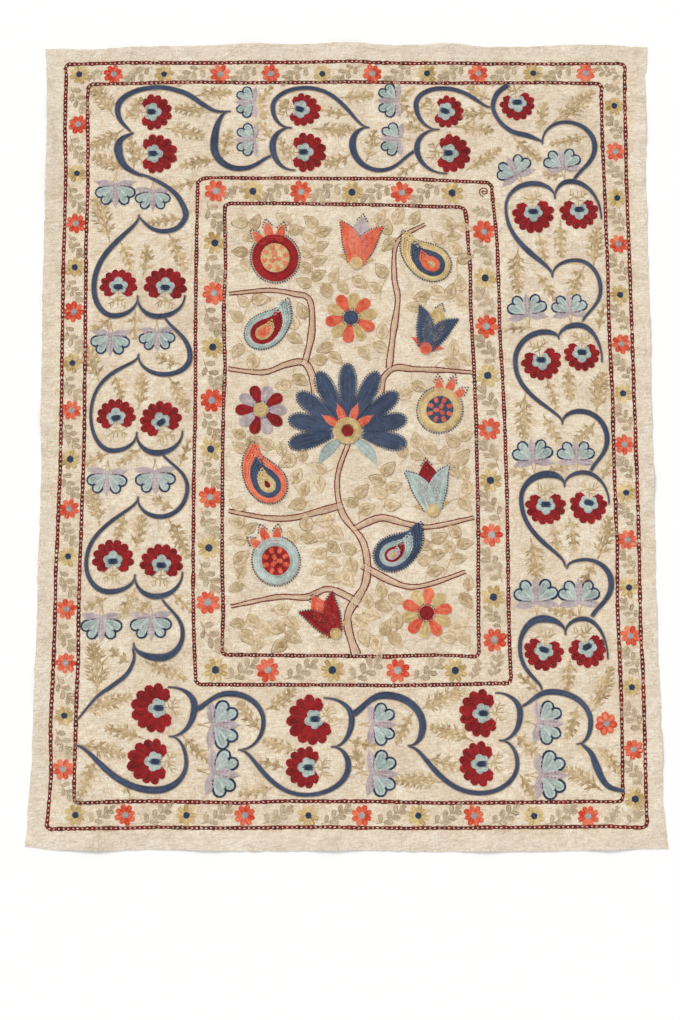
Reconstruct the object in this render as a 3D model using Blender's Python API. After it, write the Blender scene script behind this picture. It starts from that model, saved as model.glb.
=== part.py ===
"""Suzani embroidered textile, laid out flat on a level surface.

One hemmed sheet of hand-woven cloth. Four ladder-stitched guard lines stand up as low ridges on it
and part it into margin, narrow border, wide scroll border, inner border and field. Its rim is as
uneven as hand work leaves it, and soft puckers lift it where the stitching draws it in.

Metres. X runs across the width, +Y towards the top edge and +Z up from the surface it lies on.
The origin is at the middle of the underside.
"""

import math
from collections import namedtuple

import bmesh
import bpy
from mathutils import Vector

# Driving sizes of the sheet.
CLOTH_THICKNESS = 0.0016
HEM_WIDTH = 0.018
HEM_THICKNESS = 0.0024
RIDGE_HEIGHT = 0.0011
RIDGE_HALF_WIDTH = 0.0032

# Cells between two neighbouring guard lines or across the field.
NARROW_BORDER_CELLS = 1
WIDE_BORDER_CELLS = 6
INNER_BORDER_CELLS = 1
FIELD_CELLS_ACROSS = 12
FIELD_CELLS_ALONG = 22

# Each side of the rim: how far out it reaches, at places along it.
Reach = namedtuple("Reach", "along out")
LEFT_RIM = (
    Reach(-0.725, 0.5525), Reach(-0.675, 0.5500), Reach(-0.555, 0.5445), Reach(-0.310, 0.5418),
    Reach(-0.085, 0.5402), Reach(0.060, 0.5436), Reach(0.280, 0.5452), Reach(0.600, 0.5450),
    Reach(0.690, 0.5490), Reach(0.725, 0.5512),
)
RIGHT_RIM = (
    Reach(-0.725, 0.5525), Reach(-0.675, 0.5480), Reach(-0.640, 0.5452), Reach(-0.555, 0.5457),
    Reach(-0.300, 0.5418), Reach(-0.050, 0.5430), Reach(0.190, 0.5433), Reach(0.430, 0.5420),
    Reach(0.655, 0.5456), Reach(0.725, 0.5508),
)
BOTTOM_RIM = (
    Reach(-0.550, 0.7195), Reach(-0.490, 0.7260), Reach(-0.420, 0.7280), Reach(-0.340, 0.7248),
    Reach(-0.166, 0.7280), Reach(0.000, 0.7262), Reach(0.143, 0.7280), Reach(0.349, 0.7278),
    Reach(0.435, 0.7262), Reach(0.550, 0.7225),
)
TOP_RIM = (
    Reach(-0.550, 0.7168), Reach(-0.470, 0.7166), Reach(-0.323, 0.7224), Reach(-0.176, 0.7262),
    Reach(0.007, 0.7280), Reach(0.098, 0.7244), Reach(0.190, 0.7262), Reach(0.263, 0.7205),
    Reach(0.465, 0.7244), Reach(0.550, 0.7206),
)

# The guard lines, outermost first, each by its four corners.
Guard = namedtuple("Guard", "top_left top_right bottom_right bottom_left")
GUARD_LINES = (
    Guard((-0.5165, 0.6875), (0.5140, 0.6875), (0.5165, -0.6910), (-0.5155, -0.6910)),
    Guard((-0.4715, 0.6460), (0.4725, 0.6475), (0.4745, -0.6435), (-0.4665, -0.6480)),
    Guard((-0.2690, 0.4655), (0.2675, 0.4600), (0.2860, -0.4425), (-0.2620, -0.4460)),
    Guard((-0.2175, 0.4205), (0.2160, 0.4150), (0.2310, -0.3975), (-0.2172, -0.3940)),
)

# Puckers and soft rises: the middle of the crest, the crest's heading in degrees from +X, how far
# it runs and spreads to each side of the middle, and how high it lifts the cloth.
Rise = namedtuple("Rise", "x y heading run spread lift")
RISES = (
    # along the top hem
    Rise(-0.395, 0.730, 96, 0.085, 0.052, 0.0030),
    Rise(-0.176, 0.735, 88, 0.100, 0.060, 0.0045),
    Rise(0.004, 0.735, 92, 0.120, 0.066, 0.0060),
    Rise(0.184, 0.735, 84, 0.090, 0.056, 0.0042),
    Rise(0.420, 0.735, 93, 0.080, 0.060, 0.0034),
    # along the left hem
    Rise(-0.555, 0.600, 6, 0.075, 0.050, 0.0042),
    Rise(-0.555, 0.478, -9, 0.085, 0.054, 0.0036),
    Rise(-0.555, 0.245, 3, 0.065, 0.060, 0.0028),
    Rise(-0.555, 0.022, -5, 0.080, 0.056, 0.0044),
    Rise(-0.555, -0.236, 4, 0.070, 0.062, 0.0030),
    Rise(-0.555, -0.455, -4, 0.075, 0.060, 0.0032),
    # along the right hem
    Rise(0.555, 0.560, -7, 0.080, 0.052, 0.0040),
    Rise(0.555, 0.400, 5, 0.065, 0.056, 0.0030),
    Rise(0.555, 0.180, -3, 0.070, 0.062, 0.0028),
    Rise(0.555, -0.080, 6, 0.080, 0.058, 0.0042),
    Rise(0.555, -0.330, -4, 0.070, 0.060, 0.0032),
    Rise(0.555, -0.560, 5, 0.075, 0.056, 0.0036),
    # along the bottom hem
    Rise(-0.440, -0.735, 80, 0.080, 0.058, 0.0038),
    Rise(-0.250, -0.735, 95, 0.070, 0.060, 0.0030),
    Rise(-0.020, -0.735, 88, 0.085, 0.064, 0.0040),
    Rise(0.235, -0.735, 96, 0.075, 0.060, 0.0034),
    Rise(0.450, -0.735, 86, 0.080, 0.058, 0.0040),
    # soft rises across the worked cloth
    Rise(-0.360, 0.330, 74, 0.210, 0.085, 0.0022),
    Rise(0.370, 0.120, 97, 0.260, 0.090, 0.0024),
    Rise(-0.130, 0.270, 12, 0.190, 0.080, 0.0016),
    Rise(0.110, -0.300, -14, 0.210, 0.085, 0.0018),
    Rise(-0.370, -0.330, 101, 0.230, 0.085, 0.0020),
    Rise(0.120, 0.560, 4, 0.260, 0.070, 0.0022),
    Rise(-0.060, -0.560, -3, 0.300, 0.075, 0.0022),
)

# Undyed linen.
LINEN_COLOUR = (0.76, 0.66, 0.52, 1.0)
LINEN_ROUGHNESS = 0.92


def clear_scene():
    """Removes whatever the scene holds."""
    for thing in list(bpy.data.objects):
        bpy.data.objects.remove(thing, do_unlink=True)


def smooth_between(rows, along):
    """A rim's reach at a place along it, eased between the two rows on either side."""
    if along <= rows[0].along:
        return rows[0].out
    for near, far in zip(rows, rows[1:]):
        if along <= far.along:
            share = (along - near.along) / (far.along - near.along)
            eased = share * share * (3.0 - 2.0 * share)
            return near.out + (far.out - near.out) * eased
    return rows[-1].out


def straight_between(start, end, share):
    """The value that far from start to end, held at the ends."""
    held = min(1.0, max(0.0, share))
    return start + (end - start) * held


def lift_at(x, y):
    """How far the underside stands off the surface at a place on the cloth."""
    lifted = 0.0
    for rise in RISES:
        heading = math.radians(rise.heading)
        dx, dy = x - rise.x, y - rise.y
        run = abs(dx * math.cos(heading) + dy * math.sin(heading)) / rise.run
        spread = abs(dy * math.cos(heading) - dx * math.sin(heading)) / rise.spread
        if run < 1.0 and spread < 1.0:
            lifted += rise.lift * math.cos(run * math.pi / 2) ** 2 * math.cos(spread * math.pi / 2) ** 2
    return lifted


def guard_side(guard, side, along):
    """Where one side of a guard line runs: its x for left and right, its y for bottom and top."""
    corners = {
        "left": (guard.bottom_left, guard.top_left),
        "right": (guard.bottom_right, guard.top_right),
        "bottom": (guard.bottom_left, guard.bottom_right),
        "top": (guard.top_left, guard.top_right),
    }[side]
    across = 0 if side in ("left", "right") else 1
    start, end = corners
    share = (along - start[1 - across]) / (end[1 - across] - start[1 - across])
    return straight_between(start[across], end[across], share)


def rim_side(side, along):
    """Where one side of the rim runs, as a signed x or y."""
    rows = {"left": LEFT_RIM, "right": RIGHT_RIM, "bottom": BOTTOM_RIM, "top": TOP_RIM}[side]
    sign = -1.0 if side in ("left", "bottom") else 1.0
    return sign * smooth_between(rows, along)


def grid_lines(low_side, high_side, field_cells):
    """The grid's lines from one rim to the other, as functions of the place along them.

    Returns the list of functions, and the index of each guard line's crest on the low and the
    high side, outermost first.
    """
    def hem(side, inward):
        return lambda along: rim_side(side, along) + inward * HEM_WIDTH

    def crest(guard, side, offset):
        return lambda along: guard_side(guard, side, along) + offset

    def between(first, last, share):
        return lambda along: first(along) + (last(along) - first(along)) * share

    lines = [lambda along: rim_side(low_side, along), hem(low_side, 1.0)]
    low_crests, high_crests = [], []
    cells_inside = (NARROW_BORDER_CELLS, WIDE_BORDER_CELLS, INNER_BORDER_CELLS)
    feet = (-RIDGE_HALF_WIDTH, 0.0, RIDGE_HALF_WIDTH)

    def add_ridge(guard, side, crests):
        crests.append(len(lines) + 1)
        lines.extend(crest(guard, side, foot) for foot in feet)

    def add_cells(first, last, cells):
        lines.extend(between(first, last, step / cells) for step in range(1, cells))

    for index, guard in enumerate(GUARD_LINES):
        add_ridge(guard, low_side, low_crests)
        if index < len(cells_inside):
            inner = crest(GUARD_LINES[index + 1], low_side, -RIDGE_HALF_WIDTH)
            add_cells(lines[-1], inner, cells_inside[index])
    field_end = crest(GUARD_LINES[-1], high_side, -RIDGE_HALF_WIDTH)
    add_cells(lines[-1], field_end, field_cells)
    for index in range(len(GUARD_LINES) - 1, -1, -1):
        add_ridge(GUARD_LINES[index], high_side, high_crests)
        if index:
            outer = crest(GUARD_LINES[index - 1], high_side, -RIDGE_HALF_WIDTH)
            add_cells(lines[-1], outer, cells_inside[index - 1])
    lines += [hem(high_side, -1.0), lambda along: rim_side(high_side, along)]
    return lines, low_crests, high_crests[::-1]


def settle(column, row):
    """The crossing of a grid column and a grid row, each of which bends with the other."""
    x, y = column(0.0), row(0.0)
    for _ in range(4):
        x, y = column(y), row(x)
    return x, y


def build_cloth():
    """The sheet as one closed mesh: a worked face, a flat underside and a rim."""
    columns, left_crests, right_crests = grid_lines("left", "right", FIELD_CELLS_ACROSS)
    rows, bottom_crests, top_crests = grid_lines("bottom", "top", FIELD_CELLS_ALONG)
    last_column, last_row = len(columns) - 1, len(rows) - 1

    def on_ridge(i, j):
        for left, right, bottom, top in zip(left_crests, right_crests, bottom_crests, top_crests):
            inside = left <= i <= right and bottom <= j <= top
            if inside and (i in (left, right) or j in (bottom, top)):
                return True
        return False

    def in_hem(i, j):
        return i <= 1 or j <= 1 or i >= last_column - 1 or j >= last_row - 1

    mesh = bmesh.new()
    face_points, under_points = [], []
    for i, column in enumerate(columns):
        face_points.append([])
        under_points.append([])
        for j, row in enumerate(rows):
            x, y = settle(column, row)
            under = lift_at(x, y)
            thick = HEM_THICKNESS if in_hem(i, j) else CLOTH_THICKNESS
            ridge = RIDGE_HEIGHT if on_ridge(i, j) else 0.0
            face_points[i].append(mesh.verts.new(Vector((x, y, under + thick + ridge))))
            under_points[i].append(mesh.verts.new(Vector((x, y, under))))

    for i in range(last_column):
        for j in range(last_row):
            near, far = face_points[i], face_points[i + 1]
            mesh.faces.new((near[j], far[j], far[j + 1], near[j + 1]))
            near, far = under_points[i], under_points[i + 1]
            mesh.faces.new((near[j], near[j + 1], far[j + 1], far[j]))

    around = [(i, 0) for i in range(last_column)]
    around += [(last_column, j) for j in range(last_row)]
    around += [(i, last_row) for i in range(last_column, 0, -1)]
    around += [(0, j) for j in range(last_row, 0, -1)]
    for (i, j), (k, m) in zip(around, around[1:] + around[:1]):
        mesh.faces.new((face_points[i][j], under_points[i][j], under_points[k][m], face_points[k][m]))

    bmesh.ops.recalc_face_normals(mesh, faces=mesh.faces)
    bmesh.ops.triangulate(mesh, faces=mesh.faces)
    data = bpy.data.meshes.new("embroidered_cloth")
    mesh.to_mesh(data)
    mesh.free()
    data.shade_smooth()
    data.set_sharp_from_angle(angle=math.radians(50))
    return data


def linen_material():
    """Undyed hand-woven linen, matt and warm."""
    material = bpy.data.materials.new("undyed_linen")
    material.use_nodes = True
    shader = material.node_tree.nodes["Principled BSDF"]
    shader.inputs["Base Color"].default_value = LINEN_COLOUR
    shader.inputs["Roughness"].default_value = LINEN_ROUGHNESS
    shader.inputs["Metallic"].default_value = 0.0
    return material


def main():
    """Builds the one sheet."""
    clear_scene()
    data = build_cloth()
    data.materials.append(linen_material())
    cloth = bpy.data.objects.new("embroidered_cloth", data)
    bpy.context.scene.collection.objects.link(cloth)


main()
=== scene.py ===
"""Looks of a suzani: a hand-embroidered hanging, laid out flat under soft light.

The ground is one hemmed sheet of hand-woven linen that lies on the folds of its solid. Everything on it
is real stitching: each motif lays rows of stitches, and Geometry Nodes set a loop of thread at every
stitch along them. Places and sizes are millimetres on the cloth, with X across it, Y towards its top
edge and the origin in its middle, until they are sewn; pieces are made in metres.
"""

from __future__ import annotations

import logging
import math
import random
from collections.abc import Callable, Iterable, Sequence
from dataclasses import dataclass, field
from enum import Enum
from functools import partial
from typing import NamedTuple

import bpy
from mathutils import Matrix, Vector, noise

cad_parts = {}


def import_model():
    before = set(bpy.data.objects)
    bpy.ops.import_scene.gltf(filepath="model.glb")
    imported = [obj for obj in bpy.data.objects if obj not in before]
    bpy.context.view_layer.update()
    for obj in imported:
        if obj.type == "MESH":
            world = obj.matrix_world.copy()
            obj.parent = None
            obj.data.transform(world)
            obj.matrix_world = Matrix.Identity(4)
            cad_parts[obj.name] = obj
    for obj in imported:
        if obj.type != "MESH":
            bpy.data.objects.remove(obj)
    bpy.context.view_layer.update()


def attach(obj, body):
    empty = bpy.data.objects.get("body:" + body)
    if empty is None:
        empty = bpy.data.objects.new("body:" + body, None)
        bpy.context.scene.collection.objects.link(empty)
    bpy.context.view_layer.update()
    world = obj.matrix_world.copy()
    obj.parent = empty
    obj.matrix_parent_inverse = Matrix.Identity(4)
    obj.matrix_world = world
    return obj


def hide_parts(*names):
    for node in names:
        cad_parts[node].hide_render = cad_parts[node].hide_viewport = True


LOG = logging.getLogger("suzani")
MM = 0.001
Point = tuple[float, float]
Line = Sequence[Point]
Triple = tuple[float, float, float]
NodeTree = bpy.types.NodeTree
Node = bpy.types.Node
Object = bpy.types.Object
Socket = bpy.types.NodeSocket
AddNode = Callable[..., Node]
MATH, RAMP, MIX, NOISE = "ShaderNodeMath", "ShaderNodeMapRange", "ShaderNodeMix", "ShaderNodeTexNoise"


# ---- Small tools ----


def linear(hex_colour: str) -> tuple[float, float, float, float]:
    """Turns an sRGB hex colour to the linear colour that shaders use.

    Args:
        hex_colour: six hex digits, with or without a leading hash.

    Returns:
        Linear red, green and blue, and an alpha of 1.
    """
    digits = hex_colour.lstrip("#")
    parts = [int(digits[i : i + 2], 16) / 255 for i in (0, 2, 4)]
    red, green, blue = (p / 12.92 if p <= 0.04045 else ((p + 0.055) / 1.055) ** 2.4 for p in parts)
    return red, green, blue, 1.0


def add_node(tree: NodeTree, kind: str, inputs: dict | Sequence = (), **settings: object) -> Node:
    """Adds a node with its settings and its inputs.

    Args:
        tree: the tree that takes the node.
        kind: the node's type name.
        inputs: what each input gets, by its name or in order: a value, a socket, or a node whose
            first live output is linked.
        **settings: the node's own properties.

    Returns:
        The new node.
    """
    node = tree.nodes.new(kind)
    for name, value in settings.items():
        setattr(node, name, value)
    for key, value in inputs.items() if isinstance(inputs, dict) else enumerate(inputs):
        if isinstance(value, Node):
            value = next(socket for socket in value.outputs if socket.enabled)
        if isinstance(value, Socket):
            tree.links.new(value, node.inputs[key])
        else:
            node.inputs[key].default_value = value
    return node


def new_material(name: str) -> tuple[bpy.types.Material, AddNode]:
    """Makes an empty material.

    Args:
        name: the material's name.

    Returns:
        The material, and what adds a node to it.
    """
    made = bpy.data.materials.new(name)
    made.use_nodes = True
    made.node_tree.nodes.clear()
    return made, partial(add_node, made.node_tree)


def drift(x: float, y: float, z: float) -> float:
    """A soft chance value between -1 and 1 that is always the same at a place."""
    return noise.noise(Vector((x, y, z)))


def in_scene(name: str, data: bpy.types.ID) -> Object:
    """Puts a mesh, a lamp or a camera in the scene.

    Args:
        name: the object's name.
        data: its mesh, lamp or camera.

    Returns:
        The object.
    """
    made = bpy.data.objects.new(name, data)
    bpy.context.scene.collection.objects.link(made)
    return made


def off(x: float, y: float, turn: float, far: float, wide: float | None = None) -> Point:
    """The place that lies off another one by a turn, on a round or an oval.

    Args:
        x: the other place's X.
        y: its Y.
        turn: the way there, in degrees.
        far: how far away it is.
        wide: how far away it would be at a quarter turn, on an oval.

    Returns:
        The place.
    """
    away = math.radians(turn)
    return x + far * math.cos(away), y + (far if wide is None else wide) * math.sin(away)


def flowing(points: Line, step: float = 5.0, closed: bool = False) -> list[Point]:
    """Draws a smooth line through a few points.

    Args:
        points: the points that the line passes through.
        step: how far apart the line's own points lie.
        closed: whether the line comes back to its start.

    Returns:
        The points of a Catmull-Rom curve.
    """
    count = len(points)
    line: list[Point] = []
    for i in range(count if closed else count - 1):
        near = [(i + k) % count if closed else min(count - 1, max(0, i + k)) for k in (-1, 0, 1, 2)]
        (ax, ay), (bx, by), (cx, cy), (dx, dy) = (points[k] for k in near)
        pieces = max(2, round(math.hypot(cx - bx, cy - by) / step))
        for k in range(pieces):
            t = k / pieces
            a, b = 0.5 * (-t + 2 * t * t - t**3), 0.5 * (2 - 5 * t * t + 3 * t**3)
            c, d = 0.5 * (t + 4 * t * t - 3 * t**3), 0.5 * (-t * t + t**3)
            line.append((a * ax + b * bx + c * cx + d * dx, a * ay + b * by + c * cy + d * dy))
    return line if closed else [*line, points[-1]]


def bend(start: Point, end: Point, sag: float, step: float = 5.0) -> list[Point]:
    """Draws an arc-like line between two points.

    Args:
        start: where it starts.
        end: where it ends.
        sag: how far its middle stands off the straight line, to the left of its way.
        step: how far apart its points lie.

    Returns:
        The line's points.
    """
    dx, dy = end[0] - start[0], end[1] - start[1]
    length = math.hypot(dx, dy)
    count = max(3, round(length / step))
    line = []
    for k in range(count + 1):
        t = k / count
        off = 4 * sag * t * (1 - t) / max(length, 1e-6)
        line.append((start[0] + dx * t - dy * off, start[1] + dy * t + dx * off))
    return line


class TaperedLine:
    """A line that is drawn in easy turns, with a width that changes from one to the next."""

    STEP = 5.0

    def __init__(self, width: float, start: Point | None = None) -> None:
        """Starts a line of a width, at a place where one is given.

        Args:
            width: its width there.
            start: its first place, where no swing gives it.
        """
        self.points: list[Point] = [start] if start else []
        self.widths: list[float] = [width] if start else []
        self.width = width

    def _widen(self, share: float, wide: float) -> float:
        """The width at a share of the way from the last width to the next."""
        return self.width + (wide - self.width) * share * share * (3 - 2 * share)

    def turn(self, end: Point, way: Point, wide: float) -> TaperedLine:
        """Adds a quarter of an oval that leaves along a way and meets its end square to it.

        Args:
            end: where the turn ends.
            way: the unit way in which it leaves.
            wide: the width at its end.

        Returns:
            This line.
        """
        x, y = self.points[-1]
        dx, dy = end[0] - x, end[1] - y
        along = dx * way[0] + dy * way[1]
        ax, ay = along * way[0], along * way[1]
        count = max(4, round(math.hypot(dx, dy) / self.STEP))
        for k in range(1, count + 1):
            t = 0.5 * math.pi * k / count
            far, near = math.sin(t), 1 - math.cos(t)
            self.points.append((x + ax * far + (dx - ax) * near, y + ay * far + (dy - ay) * near))
            self.widths.append(self._widen(k / count, wide))
        self.width = wide
        return self

    def swing(self, handles: Line, middle: float, wide: float) -> TaperedLine:
        """Adds an S curve by its four handles, with the widths at its middle and its end.

        Args:
            handles: its start, two handles and its end.
            middle: the width half way.
            wide: the width at its end.

        Returns:
            This line.
        """
        count = max(6, round(math.dist(handles[0], handles[3]) / self.STEP))
        start = self.width
        for k in range(count + 1):
            t = k / count
            shares = ((1 - t) ** 3, 3 * t * (1 - t) ** 2, 3 * t * t * (1 - t), t**3)
            x = sum(share * handle[0] for share, handle in zip(shares, handles))
            y = sum(share * handle[1] for share, handle in zip(shares, handles))
            self.points.append((x, y))
            ends = (start, middle) if t < 0.5 else (middle, wide)
            self.widths.append(ends[0] + (ends[1] - ends[0]) * (2 * t % 1 if t < 1 else 1))
        self.width = wide
        return self


def normals_of(line: Line) -> list[Point]:
    """The unit vector to the left of a line at each of its points.

    Args:
        line: the line's points.

    Returns:
        The normals, one for each point.
    """
    found = []
    for i in range(len(line)):
        (ax, ay), (bx, by) = line[max(0, i - 1)], line[min(len(line) - 1, i + 1)]
        length = math.hypot(bx - ax, by - ay) or 1.0
        found.append((-(by - ay) / length, (bx - ax) / length))
    return found


@dataclass(frozen=True)
class Placement:
    """Where a motif lies on the cloth and which way it faces."""

    x: float
    y: float
    heading: float = 0.0  # degrees from +X to the motif's own forward way
    size: float = 1.0
    flip: float = 1.0  # -1 mirrors the motif left to right

    def lay(self, points: Iterable[Point]) -> list[Point]:
        """Places a motif's own points on the cloth.

        Args:
            points: the motif's points.

        Returns:
            Their places on the cloth.
        """
        turn = math.radians(self.heading)
        c, s = math.cos(turn) * self.size, math.sin(turn) * self.size
        return [(self.x + c * u - s * v * self.flip, self.y + s * u + c * v * self.flip) for u, v in points]

    def inner(self, u: float, v: float, turn: float = 0.0, size: float = 1.0) -> Placement:
        """The placement of a part that sits at (u, v) in this motif, turned and sized within it."""
        ((x, y),) = self.lay([(u, v)])
        return Placement(x, y, self.heading + turn * self.flip, self.size * size, self.flip)


# ---- Finishes ----


@dataclass(frozen=True)
class ThreadFinish:
    """Loosely twisted embroidery yarn: matt wool and cotton with a faint sheen, uneven in its dye."""

    name: str
    deep: str  # the colour down between the loops and in the darker lots of dye
    bright: str  # the colour on the crown of a loop
    roughness: float = 0.78
    sheen: float = 0.25
    strand_mm: float = 1.3
    lot_mm: float = 45.0  # the dye drifts over a few centimetres, as one skein gives way to the next

    def material(self) -> bpy.types.Material:
        """Makes the yarn. Its shade follows the stitch, so neighbouring stitches differ as dyed yarn does.

        Returns:
            The material.
        """
        made, add = new_material(self.name)
        shade = add("ShaderNodeAttribute", attribute_name="thread_shade").outputs["Fac"]
        place = add("ShaderNodeTexCoord").outputs["Object"]
        dye = add(NOISE, {"Vector": place, "Scale": 1 / (self.lot_mm * MM), "Detail": 3.0})
        centred = add(MATH, (dye, 0.5), operation="SUBTRACT")
        lots = add(MATH, (centred, 0.9, shade), operation="MULTIPLY_ADD")
        level = add(MATH, (lots, 0.62), operation="ADD", use_clamp=True)
        colours = {"Factor": level, "A": linear(self.deep), "B": linear(self.bright)}
        colour = add(MIX, colours, data_type="RGBA")
        # Twisted strands: finer than a pixel from a step away, so they only soften the light on a loop.
        strands = add(NOISE, {"Vector": place, "Scale": 1 / (self.strand_mm * MM), "Detail": 2.0})
        raised = add("ShaderNodeBump", {"Strength": 0.35, "Distance": 0.4 * MM, "Height": strands})
        surface = {
            "Base Color": colour, "Normal": raised, "Roughness": self.roughness, "Sheen Weight": self.sheen,
            "Sheen Roughness": 0.5, "Specular IOR Level": 0.3,
        }  # fmt: skip
        add("ShaderNodeOutputMaterial", (add("ShaderNodeBsdfPrincipled", surface),))
        return made


class Thread(Enum):
    """The yarns in the workbasket."""

    MADDER_RED = ThreadFinish("madder_red_wool_yarn", "680A10", "C2282B")
    GUARD_RED = ThreadFinish("deep_madder_cotton_yarn", "3E0304", "881B12")
    INDIGO = ThreadFinish("indigo_wool_yarn", "303D55", "5B6985")
    DARK_INDIGO = ThreadFinish("dark_indigo_cotton_yarn", "1C2A42", "3C5070")
    SEA_GREEN = ThreadFinish("pale_sea_green_wool_yarn", "90A39C", "DEE8E2")
    LILAC = ThreadFinish("pale_lilac_cotton_yarn", "AB9A9D", "E9DAD9")
    CORAL = ThreadFinish("coral_wool_yarn", "DA3E1E", "FF9A76")
    MUSTARD = ThreadFinish("weld_mustard_wool_yarn", "BE9D5C", "FAE4B0")
    ASH = ThreadFinish("ash_grey_cotton_yarn", "949698", "D2D3D0")
    GOLD_TAUPE = ThreadFinish("gold_taupe_cotton_yarn", "9A7C50", "F8E0B4")
    TAUPE = ThreadFinish("taupe_cotton_yarn", "8C7452", "D4BF9C")
    PALE_TAUPE = ThreadFinish("pale_taupe_cotton_yarn", "B49868", "FFEAC8")
    FAWN = ThreadFinish("fawn_cotton_yarn", "AA9276", "ECDAC0")
    SAND = ThreadFinish("sand_cotton_yarn", "BEA27A", "EAD4AE")
    TAN = ThreadFinish("tan_cotton_yarn", "96775A", "BE9F80")
    ROSE_TAN = ThreadFinish("rose_tan_wool_yarn", "CEAC8A", "F6DEC4")
    OXBLOOD = ThreadFinish("oxblood_cotton_yarn", "52120E", "88291E")


@dataclass(frozen=True)
class LinenFinish:
    """Undyed hand-woven linen and cotton: dry, slubby and creased, a little browner where it is worn."""

    name: str = "undyed_handwoven_linen"
    light: str = "FFF7E4"
    dark: str = "DDBF9A"
    brown: str = "CDB498"
    crease: str = "C4AA8C"
    # The real yarns lie 0.7 mm apart, too fine for the view, so the slubs are drawn 1.8 mm wide.
    slub_width_mm: float = 1.8
    slub_length_mm: float = 20.0
    crumple_mm: float = 6.5
    fold_mm: float = 22.0
    stain_mm: float = 130.0
    creases_mm: tuple[tuple[float, float], ...] = ((34.0, 30.0), (120.0, 26.0), (24.0, 90.0))
    margin_crease_mm: tuple[float, float] = (75.0, 17.0)
    worked_mm: Point = (516.0, 692.0)  # from the middle to the outer guard line
    margin: str = "EFE6DC"  # the margin was never handled as the work was, so it is paler

    def _grain(self, add: AddNode, place: Socket, size_mm: Point, **inputs: float) -> Node:
        """A noise whose grain has a size along X and along Y.

        Args:
            add: what adds a node.
            place: the place on the cloth.
            size_mm: the two sizes.
            **inputs: the noise's other inputs.

        Returns:
            The noise.
        """
        scale = (1 / (size_mm[0] * MM), 1 / (size_mm[1] * MM), 1.0)
        sized = add("ShaderNodeMapping", {"Vector": place, "Scale": scale})
        return add(NOISE, {"Vector": sized, "Scale": 1.0, **inputs})


    def _margin(self, add: AddNode, place: Socket) -> Node:
        """How far a place lies in the unworked margin, from 0 on the worked part to 1.

        Args:
            add: what adds a node.
            place: the place on the cloth.

        Returns:
            The share.
        """
        axes = add("ShaderNodeSeparateXYZ", (place,)).outputs
        past = []
        for axis, worked in zip(axes, self.worked_mm):
            away = add(MATH, (axis,), operation="ABSOLUTE")
            past.append(add(MATH, (away, worked * MM), operation="SUBTRACT"))
        farthest = add(MATH, past, operation="MAXIMUM")
        return add(RAMP, {"Value": farthest, "From Max": 8 * MM})

    def _crease(self, add: AddNode, place: Socket, size_mm: Point, wide: float) -> Node:
        """Thin wandering lines.

        Args:
            add: what adds a node.
            place: the place on the cloth.
            size_mm: how far the lines wander along X and along Y.
            wide: their width, as a share of the noise that they follow.

        Returns:
            1 on a line, and 0 away from all of them.
        """
        wander = self._grain(add, place, size_mm, Detail=2.0, Distortion=0.9)
        centred = add(MATH, (wander, 0.5), operation="SUBTRACT")
        away = add(MATH, (centred,), operation="ABSOLUTE")
        fall = {"Value": away, "From Max": wide, "To Min": 1.0, "To Max": 0.0}
        return add(RAMP, fall, interpolation_type="SMOOTHSTEP")

    def _creases(self, add: AddNode, place: Socket, margin: Node) -> Node:
        """The lines where the cloth was folded, and the ones that run in from the edges of its margin.

        Args:
            add: what adds a node.
            place: the place on the cloth.
            margin: how far the place lies in the margin.

        Returns:
            How deep a crease is there.
        """
        deepest: Node | float = 0.0
        for size in self.creases_mm:
            deepest = add(MATH, (deepest, self._crease(add, place, size, 0.03)), operation="MAXIMUM")
        # The lines come and go along the cloth.
        patches = self._grain(add, place, (45.0, 45.0), Detail=1.0)
        shown = add(RAMP, {"Value": patches, "From Min": 0.42, "From Max": 0.62})
        folded = add(MATH, (deepest, shown), operation="MULTIPLY")
        shallow = add(MATH, (margin, 0.6), operation="MULTIPLY")
        lines = self._crease(add, place, self.margin_crease_mm, 0.026)
        tucked = add(MATH, (lines, shallow), operation="MULTIPLY")
        return add(MATH, (folded, tucked), operation="MAXIMUM")


    def material(self) -> bpy.types.Material:
        """Makes the linen: crossing slubs, a fine crumple, soft folds, creases and a faint brown drift.

        Returns:
            The material.
        """
        made, add = new_material(self.name)
        place = add("ShaderNodeTexCoord").outputs["Object"]
        wide, long, fine = self.slub_width_mm, self.slub_length_mm, self.crumple_mm
        warp = self._grain(add, place, (wide, 0.5 * long), Detail=3.0)
        weft = self._grain(add, place, (long, wide), Detail=3.0)
        grain = self._grain(add, place, (wide, 0.8 * wide), Detail=2.0)
        crumple = self._grain(add, place, (1.2 * fine, fine), Detail=5.0, Roughness=0.62, Distortion=1.6)
        folds = self._grain(add, place, (1.3 * self.fold_mm, self.fold_mm), Detail=3.0, Distortion=0.8)
        stain = self._grain(add, place, (self.stain_mm, self.stain_mm), Detail=4.0)
        parts = ((warp, 0.6), (weft, 0.85), (grain, 0.75), (crumple, 1.0), (folds, 0.5))
        cloth: Node | float = 0.0
        for part, share in parts:
            cloth = add(MATH, (part, share, cloth), operation="MULTIPLY_ADD")
        middle = 0.5 * sum(share for _, share in parts)
        tone = add(RAMP, {"Value": cloth, "From Min": middle - 0.31, "From Max": middle + 0.27})
        worn = add(RAMP, {"Value": stain, "From Min": 0.45, "From Max": 0.8, "To Max": 0.4})
        margin = self._margin(add, place)
        unworked = add(MATH, (margin, 0.3), operation="MULTIPLY")
        creases = self._creases(add, place, margin)
        folded = add(MATH, (creases, 0.34), operation="MULTIPLY")
        colour: Node | Sequence = linear(self.dark)
        for factor, over in (
            (tone, self.light), (worn, self.brown), (unworked, self.margin), (folded, self.crease)
        ):  # fmt: skip
            colour = add(MIX, {"Factor": factor, "A": colour, "B": linear(over)}, data_type="RGBA")
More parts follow.
